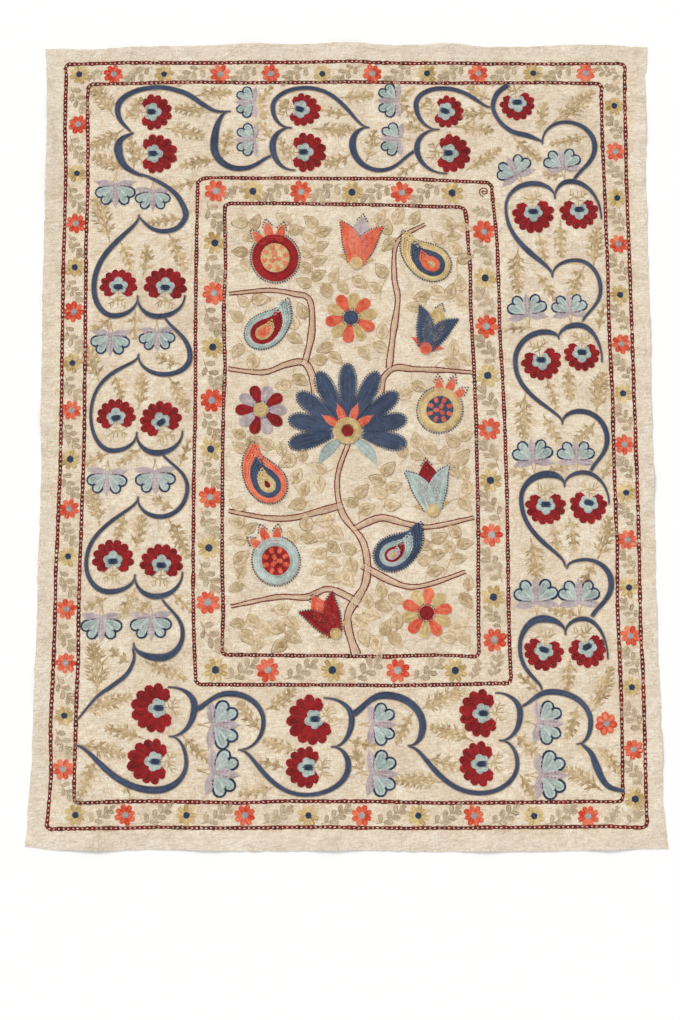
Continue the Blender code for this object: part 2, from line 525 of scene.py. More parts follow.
        # From the soft folds to the weave, each layer of bumps lies on the one before it.
        sunk = add(MATH, (creases, -1.0), operation="MULTIPLY")
        below: dict[str, Node] = {}
        for strength, depth_mm, height in (
            (0.8, 4.5, folds), (0.5, 0.9, sunk), (0.9, 2.4, crumple), (0.5, 0.4, cloth)
        ):  # fmt: skip
            layer = {"Strength": strength, "Distance": depth_mm * MM, "Height": height, **below}
            below = {"Normal": add("ShaderNodeBump", layer)}
        surface = {
            "Base Color": colour, **below, "Roughness": 0.9, "Sheen Weight": 0.15, "Specular IOR Level": 0.2
        }  # fmt: skip
        add("ShaderNodeOutputMaterial", (add("ShaderNodeBsdfPrincipled", surface),))
        return made


# ---- The ground cloth ----


class Rise(NamedTuple):
    """A pucker or soft rise: its middle, its crest's heading, how far it runs and spreads, its height."""

    x: float
    y: float
    heading: float
    run: float
    spread: float
    lift: float


class Side(Enum):
    """The four sides of the cloth, each with its unit way outwards."""

    LEFT = (-1, 0)
    RIGHT = (1, 0)
    BOTTOM = (0, -1)
    TOP = (0, 1)


# The solid's own rim and rises, in the same order as in its source.
RIM = {
    Side.LEFT: (
        (-725, 552.5), (-675, 550.0), (-555, 544.5), (-310, 541.8), (-85, 540.2),
        (60, 543.6), (280, 545.2), (600, 545.0), (690, 549.0), (725, 551.2),
    ),
    Side.RIGHT: (
        (-725, 552.5), (-675, 548.0), (-640, 545.2), (-555, 545.7), (-300, 541.8),
        (-50, 543.0), (190, 543.3), (430, 542.0), (655, 545.6), (725, 550.8),
    ),
    Side.BOTTOM: (
        (-550, 719.5), (-490, 726.0), (-420, 728.0), (-340, 724.8), (-166, 728.0),
        (0, 726.2), (143, 728.0), (349, 727.8), (435, 726.2), (550, 722.5),
    ),
    Side.TOP: (
        (-550, 716.8), (-470, 716.6), (-323, 722.4), (-176, 726.2), (7, 728.0),
        (98, 724.4), (190, 726.2), (263, 720.5), (465, 724.4), (550, 720.6),
    ),
}  # fmt: skip
RISES = tuple(
    Rise(*row)
    for row in (
        (-395, 730, 96, 85, 52, 3), (-176, 735, 88, 100, 60, 4.5), (4, 735, 92, 120, 66, 6),
        (184, 735, 84, 90, 56, 4.2), (420, 735, 93, 80, 60, 3.4), (-555, 600, 6, 75, 50, 4.2),
        (-555, 478, -9, 85, 54, 3.6), (-555, 245, 3, 65, 60, 2.8), (-555, 22, -5, 80, 56, 4.4),
        (-555, -236, 4, 70, 62, 3), (-555, -455, -4, 75, 60, 3.2), (555, 560, -7, 80, 52, 4),
        (555, 400, 5, 65, 56, 3), (555, 180, -3, 70, 62, 2.8), (555, -80, 6, 80, 58, 4.2),
        (555, -330, -4, 70, 60, 3.2), (555, -560, 5, 75, 56, 3.6), (-440, -735, 80, 80, 58, 3.8),
        (-250, -735, 95, 70, 60, 3), (-20, -735, 88, 85, 64, 4), (235, -735, 96, 75, 60, 3.4),
        (450, -735, 86, 80, 58, 4), (-360, 330, 74, 210, 85, 2.2), (370, 120, 97, 260, 90, 2.4),
        (-130, 270, 12, 190, 80, 1.6), (110, -300, -14, 210, 85, 1.8), (-370, -330, 101, 230, 85, 2),
        (120, 560, 4, 260, 70, 2.2), (-60, -560, -3, 300, 75, 2.2),
    )
)  # fmt: skip


@dataclass
class GroundCloth:
    """The hemmed sheet of linen that carries the work."""

    thickness: float = 1.1
    hem_extra: float = 0.8  # the turned edge is two more layers of thin cloth
    hem_width: float = 15.0
    bottom_hem_width: float = 31.0
    margin_width: float = 44.0
    margin_cell: float = 4.0
    inner_cell: float = 8.0
    crinkle: float = 0.8
    pucker: float = 2.3
    ragged: float = 1.1  # how far the hand-turned edge strays
    half_width: float = 550.0  # of the even grid that is then drawn out to the rim
    half_height: float = 722.0
    finish: LinenFinish = field(default_factory=LinenFinish)

    def rim(self, side: Side, along: float) -> float:
        """How far out the rim lies on a side, eased between its measured places.

        Args:
            side: the side.
            along: the place along it.

        Returns:
            The way out from the cloth's middle.
        """
        rows = RIM[side]
        along = min(max(along, rows[0][0]), rows[-1][0])
        for (start, near), (end, far) in zip(rows, rows[1:]):
            if along <= end:
                share = (along - start) / (end - start)
                return near + (far - near) * share * share * (3 - 2 * share)
        return rows[-1][1]

    def inside(self, x: float, y: float) -> dict[Side, float]:
        """How far a place lies inside each side of the rim.

        Args:
            x: the place's X.
            y: its Y.

        Returns:
            The way to each side.
        """
        return {
            Side.LEFT: x + self.rim(Side.LEFT, y),
            Side.RIGHT: self.rim(Side.RIGHT, y) - x,
            Side.BOTTOM: y + self.rim(Side.BOTTOM, x),
            Side.TOP: self.rim(Side.TOP, x) - y,
        }

    def lift(self, x: float, y: float) -> float:
        """How far the solid's rises lift the cloth at a place.

        Args:
            x: the place's X.
            y: its Y.

        Returns:
            The height in millimetres.
        """
        lifted = 0.0
        for rise in RISES:
            dx, dy = x - rise.x, y - rise.y
            if abs(dx) + abs(dy) > rise.run + rise.spread:
                continue
            heading = math.radians(rise.heading)
            run = abs(dx * math.cos(heading) + dy * math.sin(heading)) / rise.run
            spread = abs(dy * math.cos(heading) - dx * math.sin(heading)) / rise.spread
            if run < 1 and spread < 1:
                lifted += rise.lift * (math.cos(run * math.pi / 2) * math.cos(spread * math.pi / 2)) ** 2
        return lifted

    def relief(self, x: float, y: float) -> float:
        """The crinkles of the worked cloth, and the puckers that the stitching draws in its margin.

        Args:
            x: the place's X.
            y: its Y.

        Returns:
            The height, up or down.
        """
        far_in = self.inside(x, y)
        edge = min(far_in.values())
        height = self.crinkle * drift(x / 34, y / 34, 3.1)
        height += 0.45 * self.crinkle * drift(x / 15, y / 15, 7.7)
        fade = max(0.0, 1 - edge / 62)
        if fade > 0:
            beside = min(far_in[Side.LEFT], far_in[Side.RIGHT])
            above = min(far_in[Side.BOTTOM], far_in[Side.TOP])
            # Creases run in from the left and right edges, and along the top and bottom ones.
            across = drift(x / 60, y / 11, 1.7) if beside < above else 0.0
            along = drift(x / 70, y / 9, 5.3) if above <= beside else 0.0
            tucks = drift(x / 13, y / 40, 9.1) if above <= beside else 0.0
            height += self.pucker * fade**0.7 * (across + 0.6 * along + 0.55 * tucks)
        return height

    def under(self, x: float, y: float) -> float:
        """The height of the underside, which rests on the surface and never goes below it."""
        return max(0.05, 0.45 + self.lift(x, y) + self.relief(x, y))

    def top(self, x: float, y: float) -> float:
        """The height of the worked face.

        Args:
            x: the place's X.
            y: its Y.

        Returns:
            The height, with the hem's fold where there is one.
        """
        far_in = self.inside(x, y)
        near_hem = max(
            max(self.hem_width - far_in[side], 0) for side in (Side.LEFT, Side.RIGHT, Side.TOP)
        )
        near_hem = max(near_hem, self.bottom_hem_width - far_in[Side.BOTTOM])
        hem = self.hem_extra * min(1.0, max(0.0, near_hem / 3))
        return self.under(x, y) + self.thickness + hem

    def _stations(self, half: float) -> list[float]:
        """Grid lines from one rim to the other, closer together in the margins.

        Args:
            half: how far the first and the last one lie from the middle.

        Returns:
            The places of the grid lines.
        """
        wide = self.margin_width
        margin = round(wide / self.margin_cell)
        span = 2 * half - 2 * wide
        middle = round(span / self.inner_cell)
        first = [-half + wide * k / margin for k in range(margin)]
        second = [-half + wide + span * k / middle for k in range(middle)]
        return first + second + [half - wide * (1 - k / margin) for k in range(margin + 1)]

    def _stray(self, along: float, lane: float) -> float:
        """How far the rim lies inwards and strays at a place along one side."""
        return self.ragged * drift(along / 16, lane, 0.5) - 0.4

    def build(self) -> Object:
        """Makes the sheet as one closed mesh.

        Returns:
            The cloth, in metres.
        """
        columns, rows = self._stations(self.half_width), self._stations(self.half_height)
        places = []
        for x in columns:
            for y in rows:
                px, py = x, y
                side, side_lane = (Side.RIGHT, 4.0) if x > 0 else (Side.LEFT, 8.0)
                end, end_lane = (Side.TOP, 2.0) if y > 0 else (Side.BOTTOM, 6.0)
                for _ in range(3):
                    stray_x, stray_y = self._stray(py, side_lane), self._stray(px, end_lane)
                    px = x * (self.rim(side, py) + stray_x) / self.half_width
                    py = y * (self.rim(end, px) + stray_y) / self.half_height
                places.append((px, py))
        face = [(x * MM, y * MM, self.top(x, y) * MM) for x, y in places]
        back = [(x * MM, y * MM, self.under(x, y) * MM) for x, y in places]
        tall, shift = len(rows), len(places)
        quads = []
        for i in range(len(columns) - 1):
            for j in range(tall - 1):
                a, b = i * tall + j, (i + 1) * tall + j
                quads.append((a, b, b + 1, a + 1))
                quads.append((a + shift, a + 1 + shift, b + 1 + shift, b + shift))
        last = len(columns) - 1
        around = [i * tall for i in range(last)] + [last * tall + j for j in range(tall - 1)]
        around += [i * tall + tall - 1 for i in range(last, 0, -1)] + list(range(tall - 1, 0, -1))
        for a, b in zip(around, around[1:] + around[:1]):
            quads.append((a, a + shift, b + shift, b))
        mesh = bpy.data.meshes.new("ground_cloth")
        mesh.from_pydata(face + back, [], quads)
        mesh.validate()
        mesh.shade_smooth()
        mesh.set_sharp_from_angle(angle=math.radians(60))
        mesh.materials.append(self.finish.material())
        return in_scene("ground_cloth", mesh)


# ---- Stitches and the workbasket ----


@dataclass
class Row:
    """One row of stitches: its line on the cloth, its width along it, and its lot of dye."""

    points: list[Point]
    widths: list[float]
    closed: bool = False
    shade: float = 0.0
    lift: float = 0.0  # how far above its piece's other rows it lies, where it is worked over them

    def placed(self, at: Placement) -> Row:
        """The same row, laid on the cloth by its motif's placement."""
        widths = [width * at.size for width in self.widths]
        return Row(at.lay(self.points), widths, self.closed, self.shade, self.lift)


def plain_row(points: Line, width: float, closed: bool = False, shade: float = 0.0) -> Row:
    """A row of one width."""
    return Row(list(points), [width] * len(points), closed, shade)


def lifted(rows: Iterable[Row], lift: float) -> list[Row]:
    """The same rows, worked over others."""
    return [Row(row.points, row.widths, row.closed, row.shade, lift) for row in rows]


def tapered_row(points: Line, width: float, ends: float = 0.45, shade: float = 0.0) -> Row:
    """A row that thins towards both of its ends.

    Args:
        points: its line.
        width: its full width.
        ends: the share of it that is left at the ends.
        shade: its lot of dye.

    Returns:
        The row.
    """
    bellies = [math.sin(math.pi * (i + 0.5) / len(points)) for i in range(len(points))]
    return Row(list(points), [width * (ends + (1 - ends) * belly) for belly in bellies], False, shade)


def band_rows(spine: Line, widths: Sequence[float], count: int) -> list[Row]:
    """Rows worked side by side to fill a band.

    Args:
        spine: the band's middle line.
        widths: its full width at each point of the spine.
        count: how many rows lie side by side.

    Returns:
        The rows, each as wide as its share of the band.
    """
    normals = normals_of(spine)
    rows = []
    for k in range(count):
        share = (k + 0.5) / count - 0.5
        points = [
            (x + nx * share * w, y + ny * share * w) for (x, y), (nx, ny), w in zip(spine, normals, widths)
        ]
        rows.append(Row(points, [max(0.9, w / count * 1.1) for w in widths], False, 0.16 * (k % 2) - 0.08))
    return rows


def edge_rows(spine: Line, widths: Sequence[float], width: float) -> list[Row]:
    """One fine row along each edge of a band.

    Args:
        spine: the band's middle line.
        widths: its full width at each point of the spine.
        width: the row's width.

    Returns:
        The two rows.
    """
    normals = normals_of(spine)
    rows = []
    for side in (-1, 1):
        points = [
            (x + nx * side * (w + width) / 2, y + ny * side * (w + width) / 2)
            for (x, y), (nx, ny), w in zip(spine, normals, widths)
        ]
        rows.append(plain_row(points, width))
    return rows


@dataclass(frozen=True)
class PetalShape:
    """A petal or leaf that grows forward from its base, rounded or pointed at its far end."""

    length: float
    width: float
    widest: float = 0.66
    rounded: bool = True
    base: float = 0.12  # the width at the base, as a share of the full one

    def half_width(self, t: float) -> float:
        """Half the width at a share of the length.

        Args:
            t: the share of the length.

        Returns:
            The half width.
        """
        if t < self.widest:
            swell = self.base + (1 - self.base) * math.sin(0.5 * math.pi * t / self.widest)
        else:
            far = (t - self.widest) / (1 - self.widest)
            swell = math.sqrt(max(0.0, 1 - far * far)) if self.rounded else math.cos(0.5 * math.pi * far)
        return 0.5 * self.width * swell

    def outline(self, grow: float = 0.0, samples: int = 9) -> list[Point]:
        """The outline, from the base round the far end and back, grown outwards or drawn in.

        Args:
            grow: how far outwards it is grown.
            samples: the steps along each side.

        Returns:
            Its points.
        """
        scale = 1 + 2 * grow / self.width
        centre = self.length * self.widest * 0.8
        right, left = [], []
        for k in range(samples + 1):
            t = math.sin(0.5 * math.pi * k / samples)
            half = self.half_width(t)
            u = centre + (self.length * t - centre) * (1 + grow / max(centre, 1))
            right.append((u, -half * scale))
            left.append((u, half * scale))
        return right + left[-2::-1]

    def loops(self, stitch: float, shade: float = 0.0, ripple: float = 0.1) -> list[Row]:
        """Rows that follow the outline inwards, as a petal is filled.

        Args:
            stitch: the width of one row.
            shade: the lot of dye.
            ripple: how much darker each second row is.

        Returns:
            The rows, outermost first.
        """
        rows = []
        inset = stitch / 2
        while inset < self.width / 2 - 0.2 * stitch:
            dye = shade - ripple * (len(rows) % 2)
            rows.append(plain_row(self.outline(-inset), stitch * 1.08, True, dye))
            inset += stitch
        if self.width / 2 - inset + stitch > 0.75 * stitch:
            end = max(0.5 * self.length, self.length - 1.2 * stitch)
            middle = bend((0.2 * self.length, 0), (end, 0), 0.0)
            rows.append(plain_row(middle, stitch, False, shade - 0.5 * ripple))
        return rows

    def ribs(self, count: int, bow: float = 0.0) -> list[Row]:
        """Rows side by side from the base to the tip, over a midrib that may bow to one side.

        Args:
            count: how many rows there are.
            bow: how far the midrib bows to the left.

        Returns:
            The rows.
        """
        spine, widths = [], []
        for k in range(10):
            t = k / 9
            spine.append((self.length * t, 4 * bow * t * (1 - t)))
            widths.append(max(1.0, 2 * self.half_width(0.03 + 0.94 * t)))
        return band_rows(spine, widths, count)


def ring_rows(radius: float, stitch: float, inner: float = 0.0, squash: float = 1.0) -> list[Row]:
    """Closed rings that fill a round from its rim inwards.

    Args:
        radius: the outer radius.
        stitch: the width of one row.
        inner: the radius of the empty middle.
        squash: the depth of an oval as a share of its width.

    Returns:
        The rings.
    """
    rows = []
    at = radius - stitch / 2
    while at > inner + 0.3 * stitch:
        count = max(6, round(at * 1.4))
        turns = [2 * math.pi * k / count for k in range(count)]
        ring = [(at * squash * math.cos(a), at * math.sin(a)) for a in turns]
        rows.append(plain_row(ring, stitch * 1.08, True, 0.12 * (len(rows) % 2) - 0.06))
        at -= stitch
    if inner == 0.0 and at > -0.56 * stitch:
        rows.append(plain_row([(-stitch * 0.4, 0.0), (stitch * 0.4, 0.0)], stitch))
    return rows


@dataclass(frozen=True)
class StitchSize:
    """How one kind of stitch is worked."""

    pitch: float  # from one stitch to the next
    overlap: float  # the loop's length as a share of the pitch
    loft: float  # the loop's height as a share of its width
    padding: float  # the width of the laid threads beneath, as a share of the row's
    unevenness: float


class Stitch(Enum):
    """The kinds of stitch, each with how it is worked."""

    CHAIN = StitchSize(5.6, 1.28, 0.34, 0.96, 0.15)
    LADDER = StitchSize(8.2, 1.04, 0.20, 0.0, 0.16)
    FINE_LADDER = StitchSize(6.0, 1.04, 0.20, 0.0, 0.18)
    KNOT = StitchSize(4.5, 0.62, 0.42, 0.0, 0.14)
    STEM = StitchSize(4.8, 1.16, 0.42, 0.0, 0.16)


class LoopMaker:
    """Makes the small meshes that stand for one stitch, one long and one wide at the origin."""

    # Each station of an arm: along, outer edge, crown, inner edge, and how high the last two lie.
    CHAIN_ARM = (
        (-0.62, 0.06, 0.03, 0.00, 0.45, 0.135),
        (-0.05, 0.50, 0.30, 0.09, 1.00, 0.300),
        (0.48, 0.24, 0.12, 0.00, 0.85, 0.255),
    )
    LADDER_CORD = ((-0.5, 0.54, 0.34, 0.18, 1.0, 0.1), (0.5, 0.54, 0.34, 0.18, 1.0, 0.1))

    def _object(self, name: str, points: list, faces: list) -> Object:
        """Makes a loop's object, which only the stitch tree reads.

        Args:
            name: its name.
            points: the mesh's points.
            faces: its faces.

        Returns:
            The object.
        """
        mesh = bpy.data.meshes.new(name)
        mesh.from_pydata(points, [], faces)
        mesh.shade_smooth()
        return bpy.data.objects.new(name, mesh)

    def _arms(self, stations: Sequence[Sequence[float]]) -> tuple[list, list]:
        """Two mirrored strips, each three points wide.

        Args:
            stations: the stations of one of them.

        Returns:
            Their points and their faces.
        """
        points, faces = [], []
        for side in (1, -1):
            first = len(points)
            for along, outer, crown, inner, high, low in stations:
                across = ((outer, 0.0), (crown, high), (inner, low))
                points += [(along, side * far, height) for far, height in across]
            for a in (first + 3 * i + strip for i in range(len(stations) - 1) for strip in (0, 1)):
                quad = (a, a + 3, a + 4, a + 1)
                faces.append(quad if side < 0 else quad[::-1])
        return points, faces

    def chain(self) -> Object:
        """A chain stitch: two arms that part from the tail and meet at the head."""
        return self._object("chain_loop", *self._arms(self.CHAIN_ARM))

    def ladder(self) -> Object:
        """A rung of open chain.

        Returns:
            Two cords along the row, and the thread that crosses them.
        """
        points, faces = self._arms(self.LADDER_CORD)
        first = len(points)
        for across in (-0.34, 0.34):
            points += [(-0.5, across, 0.0), (-0.2, across, 0.95), (0.12, across, 0.0)]
        faces += [(first, first + 1, first + 4, first + 3), (first + 1, first + 2, first + 5, first + 4)]
        return self._object("ladder_rung", points, faces)

    def stem(self) -> Object:
        """A stem stitch.

        Returns:
            One strand that slants across a fine line.
        """
        points = []
        for along, across in ((-0.5, 0.14), (0.5, -0.14)):
            points += [(along, across - 0.4, 0.0), (along, across, 1.0), (along, across + 0.4, 0.0)]
        return self._object("stem_strand", points, [(0, 3, 4, 1), (1, 4, 5, 2)])

    def knot(self) -> Object:
        """A short knot of blanket stitch.

        Returns:
            A low six-sided dome.
        """
        rings = ((0.5, 0.0), (0.3, 0.8))
        points = [(*off(0, 0, 60 * k, far), high) for far, high in rings for k in range(6)]
        faces = []
        for k in range(6):
            n = (k + 1) % 6
            faces += [(k, n, n + 6, k + 6), (k + 6, n + 6, 12)]
        return self._object("knot_loop", [*points, (0.0, 0.0, 1.0)], faces)


class StitchTree:
    """The Geometry Nodes tree that sets a loop of thread at every stitch along the rows."""

    INPUTS = {
        "Rows": "Geometry", "Pitch": "Float", "Overlap": "Float", "Loft": "Float", "Padding": "Float",
        "Unevenness": "Float", "Seed": "Int", "Loop": "Object", "Thread": "Material",
    }  # fmt: skip

    def __init__(self) -> None:
        """Builds the tree once; every piece uses it with its own inputs."""
        self.tree = bpy.data.node_groups.new("stitches along rows", "GeometryNodeTree")
        for name, kind in self.INPUTS.items():
            self.tree.interface.new_socket(name, in_out="INPUT", socket_type="NodeSocket" + kind)
        self.tree.interface.new_socket("Stitches", in_out="OUTPUT", socket_type="NodeSocketGeometry")
        self._build(partial(add_node, self.tree))

    def identifier(self, name: str) -> str:
        """The identifier of a named input."""
        items = self.tree.interface.items_tree
        return next(item.identifier for item in items if item.in_out == "INPUT" and item.name == name)

    def _build(self, add: AddNode) -> None:
        """Adds the nodes: even points along the rows, a loop at each, and laid threads beneath.

        Args:
            add: what adds a node to the tree.
        """
        given = add("NodeGroupInput").outputs
        width, shade = (
            add("GeometryNodeInputNamedAttribute", (name,), data_type="FLOAT")
            for name in ("stitch_width", "thread_shade")
        )
        lines = add("GeometryNodeMeshToCurve", {"Mesh": given["Rows"]})
        spaced = add("GeometryNodeResampleCurve", {"Curve": lines, "Length": given["Pitch"]}, mode="LENGTH")
        spots = add("GeometryNodeCurveToPoints", {"Curve": spaced}, mode="EVALUATED")
        axes = {"Primary Axis": spots.outputs["Tangent"], "Secondary Axis": (0.0, 0.0, 1.0)}
        facing = add("FunctionNodeAxesToRotation", axes, primary_axis="X", secondary_axis="Z")
        uneven = given["Unevenness"]
        least = add(MATH, (uneven, -1.0), operation="MULTIPLY")
        chances = []
        for shift in (0.0, 101.0, 202.0, 303.0):  # each random value has a seed of its own
            seed = add(MATH, (given["Seed"], shift), operation="ADD")
            chances.append(
                add("FunctionNodeRandomValue", {2: least, 3: uneven, "Seed": seed}, data_type="FLOAT")
            )
        sway, longer, wider, dye = chances
        turned = add("FunctionNodeEulerToRotation", (add("ShaderNodeCombineXYZ", {"Z": sway}),))
        turns = {"Rotation": facing, "Rotate By": turned}
        swayed = add("FunctionNodeRotateRotation", turns, rotation_space="LOCAL")
        whole = add(MATH, (given["Pitch"], given["Overlap"]), operation="MULTIPLY")
        long = add(MATH, (whole, longer, whole), operation="MULTIPLY_ADD")
        wide = add(MATH, (width, wider, width), operation="MULTIPLY_ADD")
        high = add(MATH, (wide, given["Loft"]), operation="MULTIPLY")
        size = add("ShaderNodeCombineXYZ", (long, wide, high))
        loop = add("GeometryNodeObjectInfo", {"Object": given["Loop"]}).outputs["Geometry"]
        each = {"Points": spots, "Instance": loop, "Rotation": swayed, "Scale": size}
        loops = add("GeometryNodeInstanceOnPoints", each)
        dyed = add(MATH, (dye, 1.6, shade), operation="MULTIPLY_ADD")
        shaded = add(
            "GeometryNodeStoreNamedAttribute", {"Geometry": loops, "Name": "thread_shade", "Value": dyed},
            data_type="FLOAT", domain="INSTANCE",
        )  # fmt: skip
        real = add("GeometryNodeRealizeInstances", (shaded,))
        joined = add("GeometryNodeJoinGeometry")
        for part in (self._laid_threads(add, spaced, width, shade, given["Padding"]), real):
            self.tree.links.new(part.outputs[0], joined.inputs[0])
        worked = add("GeometryNodeSetMaterial", {"Geometry": joined, "Material": given["Thread"]})
        add("NodeGroupOutput", (worked,))

    def _laid_threads(self, add: AddNode, lines: Node, width: Node, shade: Node, padding: Socket) -> Node:
        """A flat band of thread under each row, so that no ground shows between close rows.

        Args:
            add: what adds a node to the tree.
            lines: the rows, with points at the stitches.
            width: the node that reads a row's width.
            shade: the node that reads its lot of dye.
            padding: the band's width as a share of the row's; none is laid at 0.

        Returns:
            The bands.
        """
        darker = add(MATH, (shade, 0.42), operation="SUBTRACT")
        dark = add(
            "GeometryNodeStoreNamedAttribute", {"Geometry": lines, "Name": "thread_shade", "Value": darker},
            data_type="FLOAT", domain="POINT",
        )  # fmt: skip
        level = add("GeometryNodeSetCurveNormal", {"Curve": dark}, mode="Z_UP")
        profile = add("GeometryNodeCurvePrimitiveLine", {"Start": (-0.5, 0.0, 0.0), "End": (0.5, 0.0, 0.0)})
        wide = add(MATH, (width, padding), operation="MULTIPLY")
        band = add("GeometryNodeCurveToMesh", {"Curve": level, "Profile Curve": profile, "Scale": wide})
        present = add("FunctionNodeCompare", (padding, 0.01), operation="GREATER_THAN")
        return add("GeometryNodeSwitch", {"Switch": present, "True": band}, input_type="GEOMETRY")


@dataclass
class Workbasket:
    """Gathers the rows of every piece, then sews each piece with its thread."""

    cloth: GroundCloth
    rows: dict[str, list[Row]] = field(default_factory=dict)
    threads: dict[str, tuple[Thread, Stitch]] = field(default_factory=dict)
    heights: dict[str, float] = field(default_factory=dict)

    def choose(
        self, piece: str, thread: Thread, height: float = 0.12, stitch: Stitch = Stitch.CHAIN
    ) -> None:
        """Sets how a piece is worked.

        Args:
            piece: the piece's name.
            thread: its thread.
            height: how far above the ground it is worked.
            stitch: its stitch.
        """
        self.threads[piece] = (thread, stitch)
        self.heights[piece] = height
        self.rows[piece] = []

    def work(self, piece: str, rows: Iterable[Row], at: Placement | None = None) -> None:
        """Adds rows to a piece, laid by a placement where one is given."""
        self.rows[piece] += [row.placed(at) if at else row for row in rows]

    def _rows_object(self, piece: str) -> Object:
        """The rows of a piece as lines that lie on the cloth, with their widths and shades.

        Args:
            piece: the piece's name.

        Returns:
            The lines' object, which the stitch tree works on.
        """
        chance = random.Random(piece)
        points, edges, widths, shades = [], [], [], []
        for row in self.rows[piece]:
            first, count = len(points), len(row.points)
            lot = row.shade + chance.uniform(-0.12, 0.12)
            for (x, y), width in zip(row.points, row.widths):
                height = self.cloth.top(x, y) + self.heights[piece] + row.lift
                points.append((x * MM, y * MM, height * MM))
                widths.append(width * MM)
                shades.append(lot)
            edges += [(first + k, first + k + 1) for k in range(count - 1)]
            if row.closed:
                edges.append((first + count - 1, first))
        mesh = bpy.data.meshes.new(piece + "_rows")
        mesh.from_pydata(points, edges, [])
        for name, values in (("stitch_width", widths), ("thread_shade", shades)):
            mesh.attributes.new(name, "FLOAT", "POINT").data.foreach_set("value", values)
        return in_scene(mesh.name, mesh)

    def sew(self) -> list[Object]:
        """Works every piece.

        Returns:
            The finished pieces, as plain meshes.
        """
        tree, maker = StitchTree(), LoopMaker()
        rung = maker.ladder()
        loops = {
            Stitch.CHAIN: maker.chain(), Stitch.LADDER: rung, Stitch.FINE_LADDER: rung,
            Stitch.KNOT: maker.knot(), Stitch.STEM: maker.stem(),
        }  # fmt: skip
        used = dict.fromkeys(thread for thread, _ in self.threads.values())
        finishes = {thread: thread.value.material() for thread in used}
        sewn = []
        for number, (piece, (thread, stitch)) in enumerate(self.threads.items()):
            size = stitch.value
            lines = self._rows_object(piece)
            needle = lines.modifiers.new("stitches", "NODES")
            needle.node_group = tree.tree
            for name, value in (
                ("Pitch", size.pitch * MM), ("Overlap", size.overlap), ("Loft", size.loft),
                ("Padding", size.padding), ("Unevenness", size.unevenness), ("Seed", number + 1),
                ("Loop", loops[stitch]), ("Thread", finishes[thread]),
            ):  # fmt: skip
                needle[tree.identifier(name)] = value
            depsgraph = bpy.context.evaluated_depsgraph_get()
            mesh = bpy.data.meshes.new_from_object(lines.evaluated_get(depsgraph))
            mesh.name = piece
            mesh.shade_smooth()
            sewn.append(in_scene(piece, mesh))
            bpy.data.objects.remove(lines, do_unlink=True)
            LOG.info("%s: %d rows, %d faces", piece, len(self.rows[piece]), len(mesh.polygons))
        for loop in dict.fromkeys(loops.values()):
            bpy.data.objects.remove(loop, do_unlink=True)
        return sewn


# ---- Guard lines and narrow borders ----


# Each guard line once round, from its top left corner to the right, with the small drifts of hand work.
GUARD_LINES: tuple[tuple[Point, ...], ...] = (
    (
        (-513, 687), (-403, 690), (-220, 690), (-37, 692), (146, 689), (329, 688), (510, 688.5),
        (508, 664), (507.5, 569), (507, 474), (509.5, 288), (511.5, 104), (514, -166), (513.5, -342),
        (515.5, -429), (516.5, -688), (455, -685.5), (369, -686.5), (111, -688.5), (-61, -686.5),
        (-190, -688.5), (-319, -687), (-405, -688.5), (-515.5, -690), (-510, -602), (-513, -516),
        (-509.5, -342), (-510, -254), (-506.5, -77), (-506.5, 13), (-508, 195), (-509, 288), (-508, 474),
        (-511.5, 569), (-511.5, 664),
    ),
    (
        (-470, 648.5), (-360, 652), (-269, 653.5), (-178, 652), (5, 654), (187, 651.5), (370, 652),
        (466, 650.5), (465, 625), (465.5, 531), (469, 343), (470.5, 159), (473, 68), (474, -112),
        (476, -201), (474, -290), (477, -464), (476, -644), (419, -643), (333, -644.5), (161, -646),
        (75, -643.5), (-98, -642.5), (-184, -645.5), (-356, -642.5), (-470, -646), (-470, -550),
        (-467.5, -377), (-469, -290), (-465, -23), (-467.5, 250), (-469, 343), (-468, 436), (-469, 531),
        (-472, 625),
    ),
    (
        (-269, 468.5), (-251, 472), (-70, 471), (112, 470), (202, 466), (262, 463), (263.5, 446),
        (271.5, 352), (273.5, 260), (275, 168), (279, 77), (281.5, -14), (283, -103), (284, -368),
        (286, -440), (197, -442), (110, -444), (-64, -443), (-238, -442.5), (-262, -443), (-266, -368),
        (-269, -281), (-270, -103), (-268.5, 77), (-270, 168), (-270, 352), (-269, 446),
    ),
    (
        (-218, 423.5), (-109, 424), (-19, 422.5), (72, 421), (162, 418), (213, 417), (216, 401),
        (222.5, 308), (223, 216), (227.5, 124), (230, 33), (232, -146), (230.5, -323), (231, -394.5),
        (156, -391), (69, -394), (-18, -392.5), (-193, -391), (-217.5, -391), (-215.5, -323),
        (-218.5, -235), (-219.5, -57), (-219, 33), (-216.5, 124), (-220, 216), (-217, 308), (-220, 401),
    ),
)  # fmt: skip


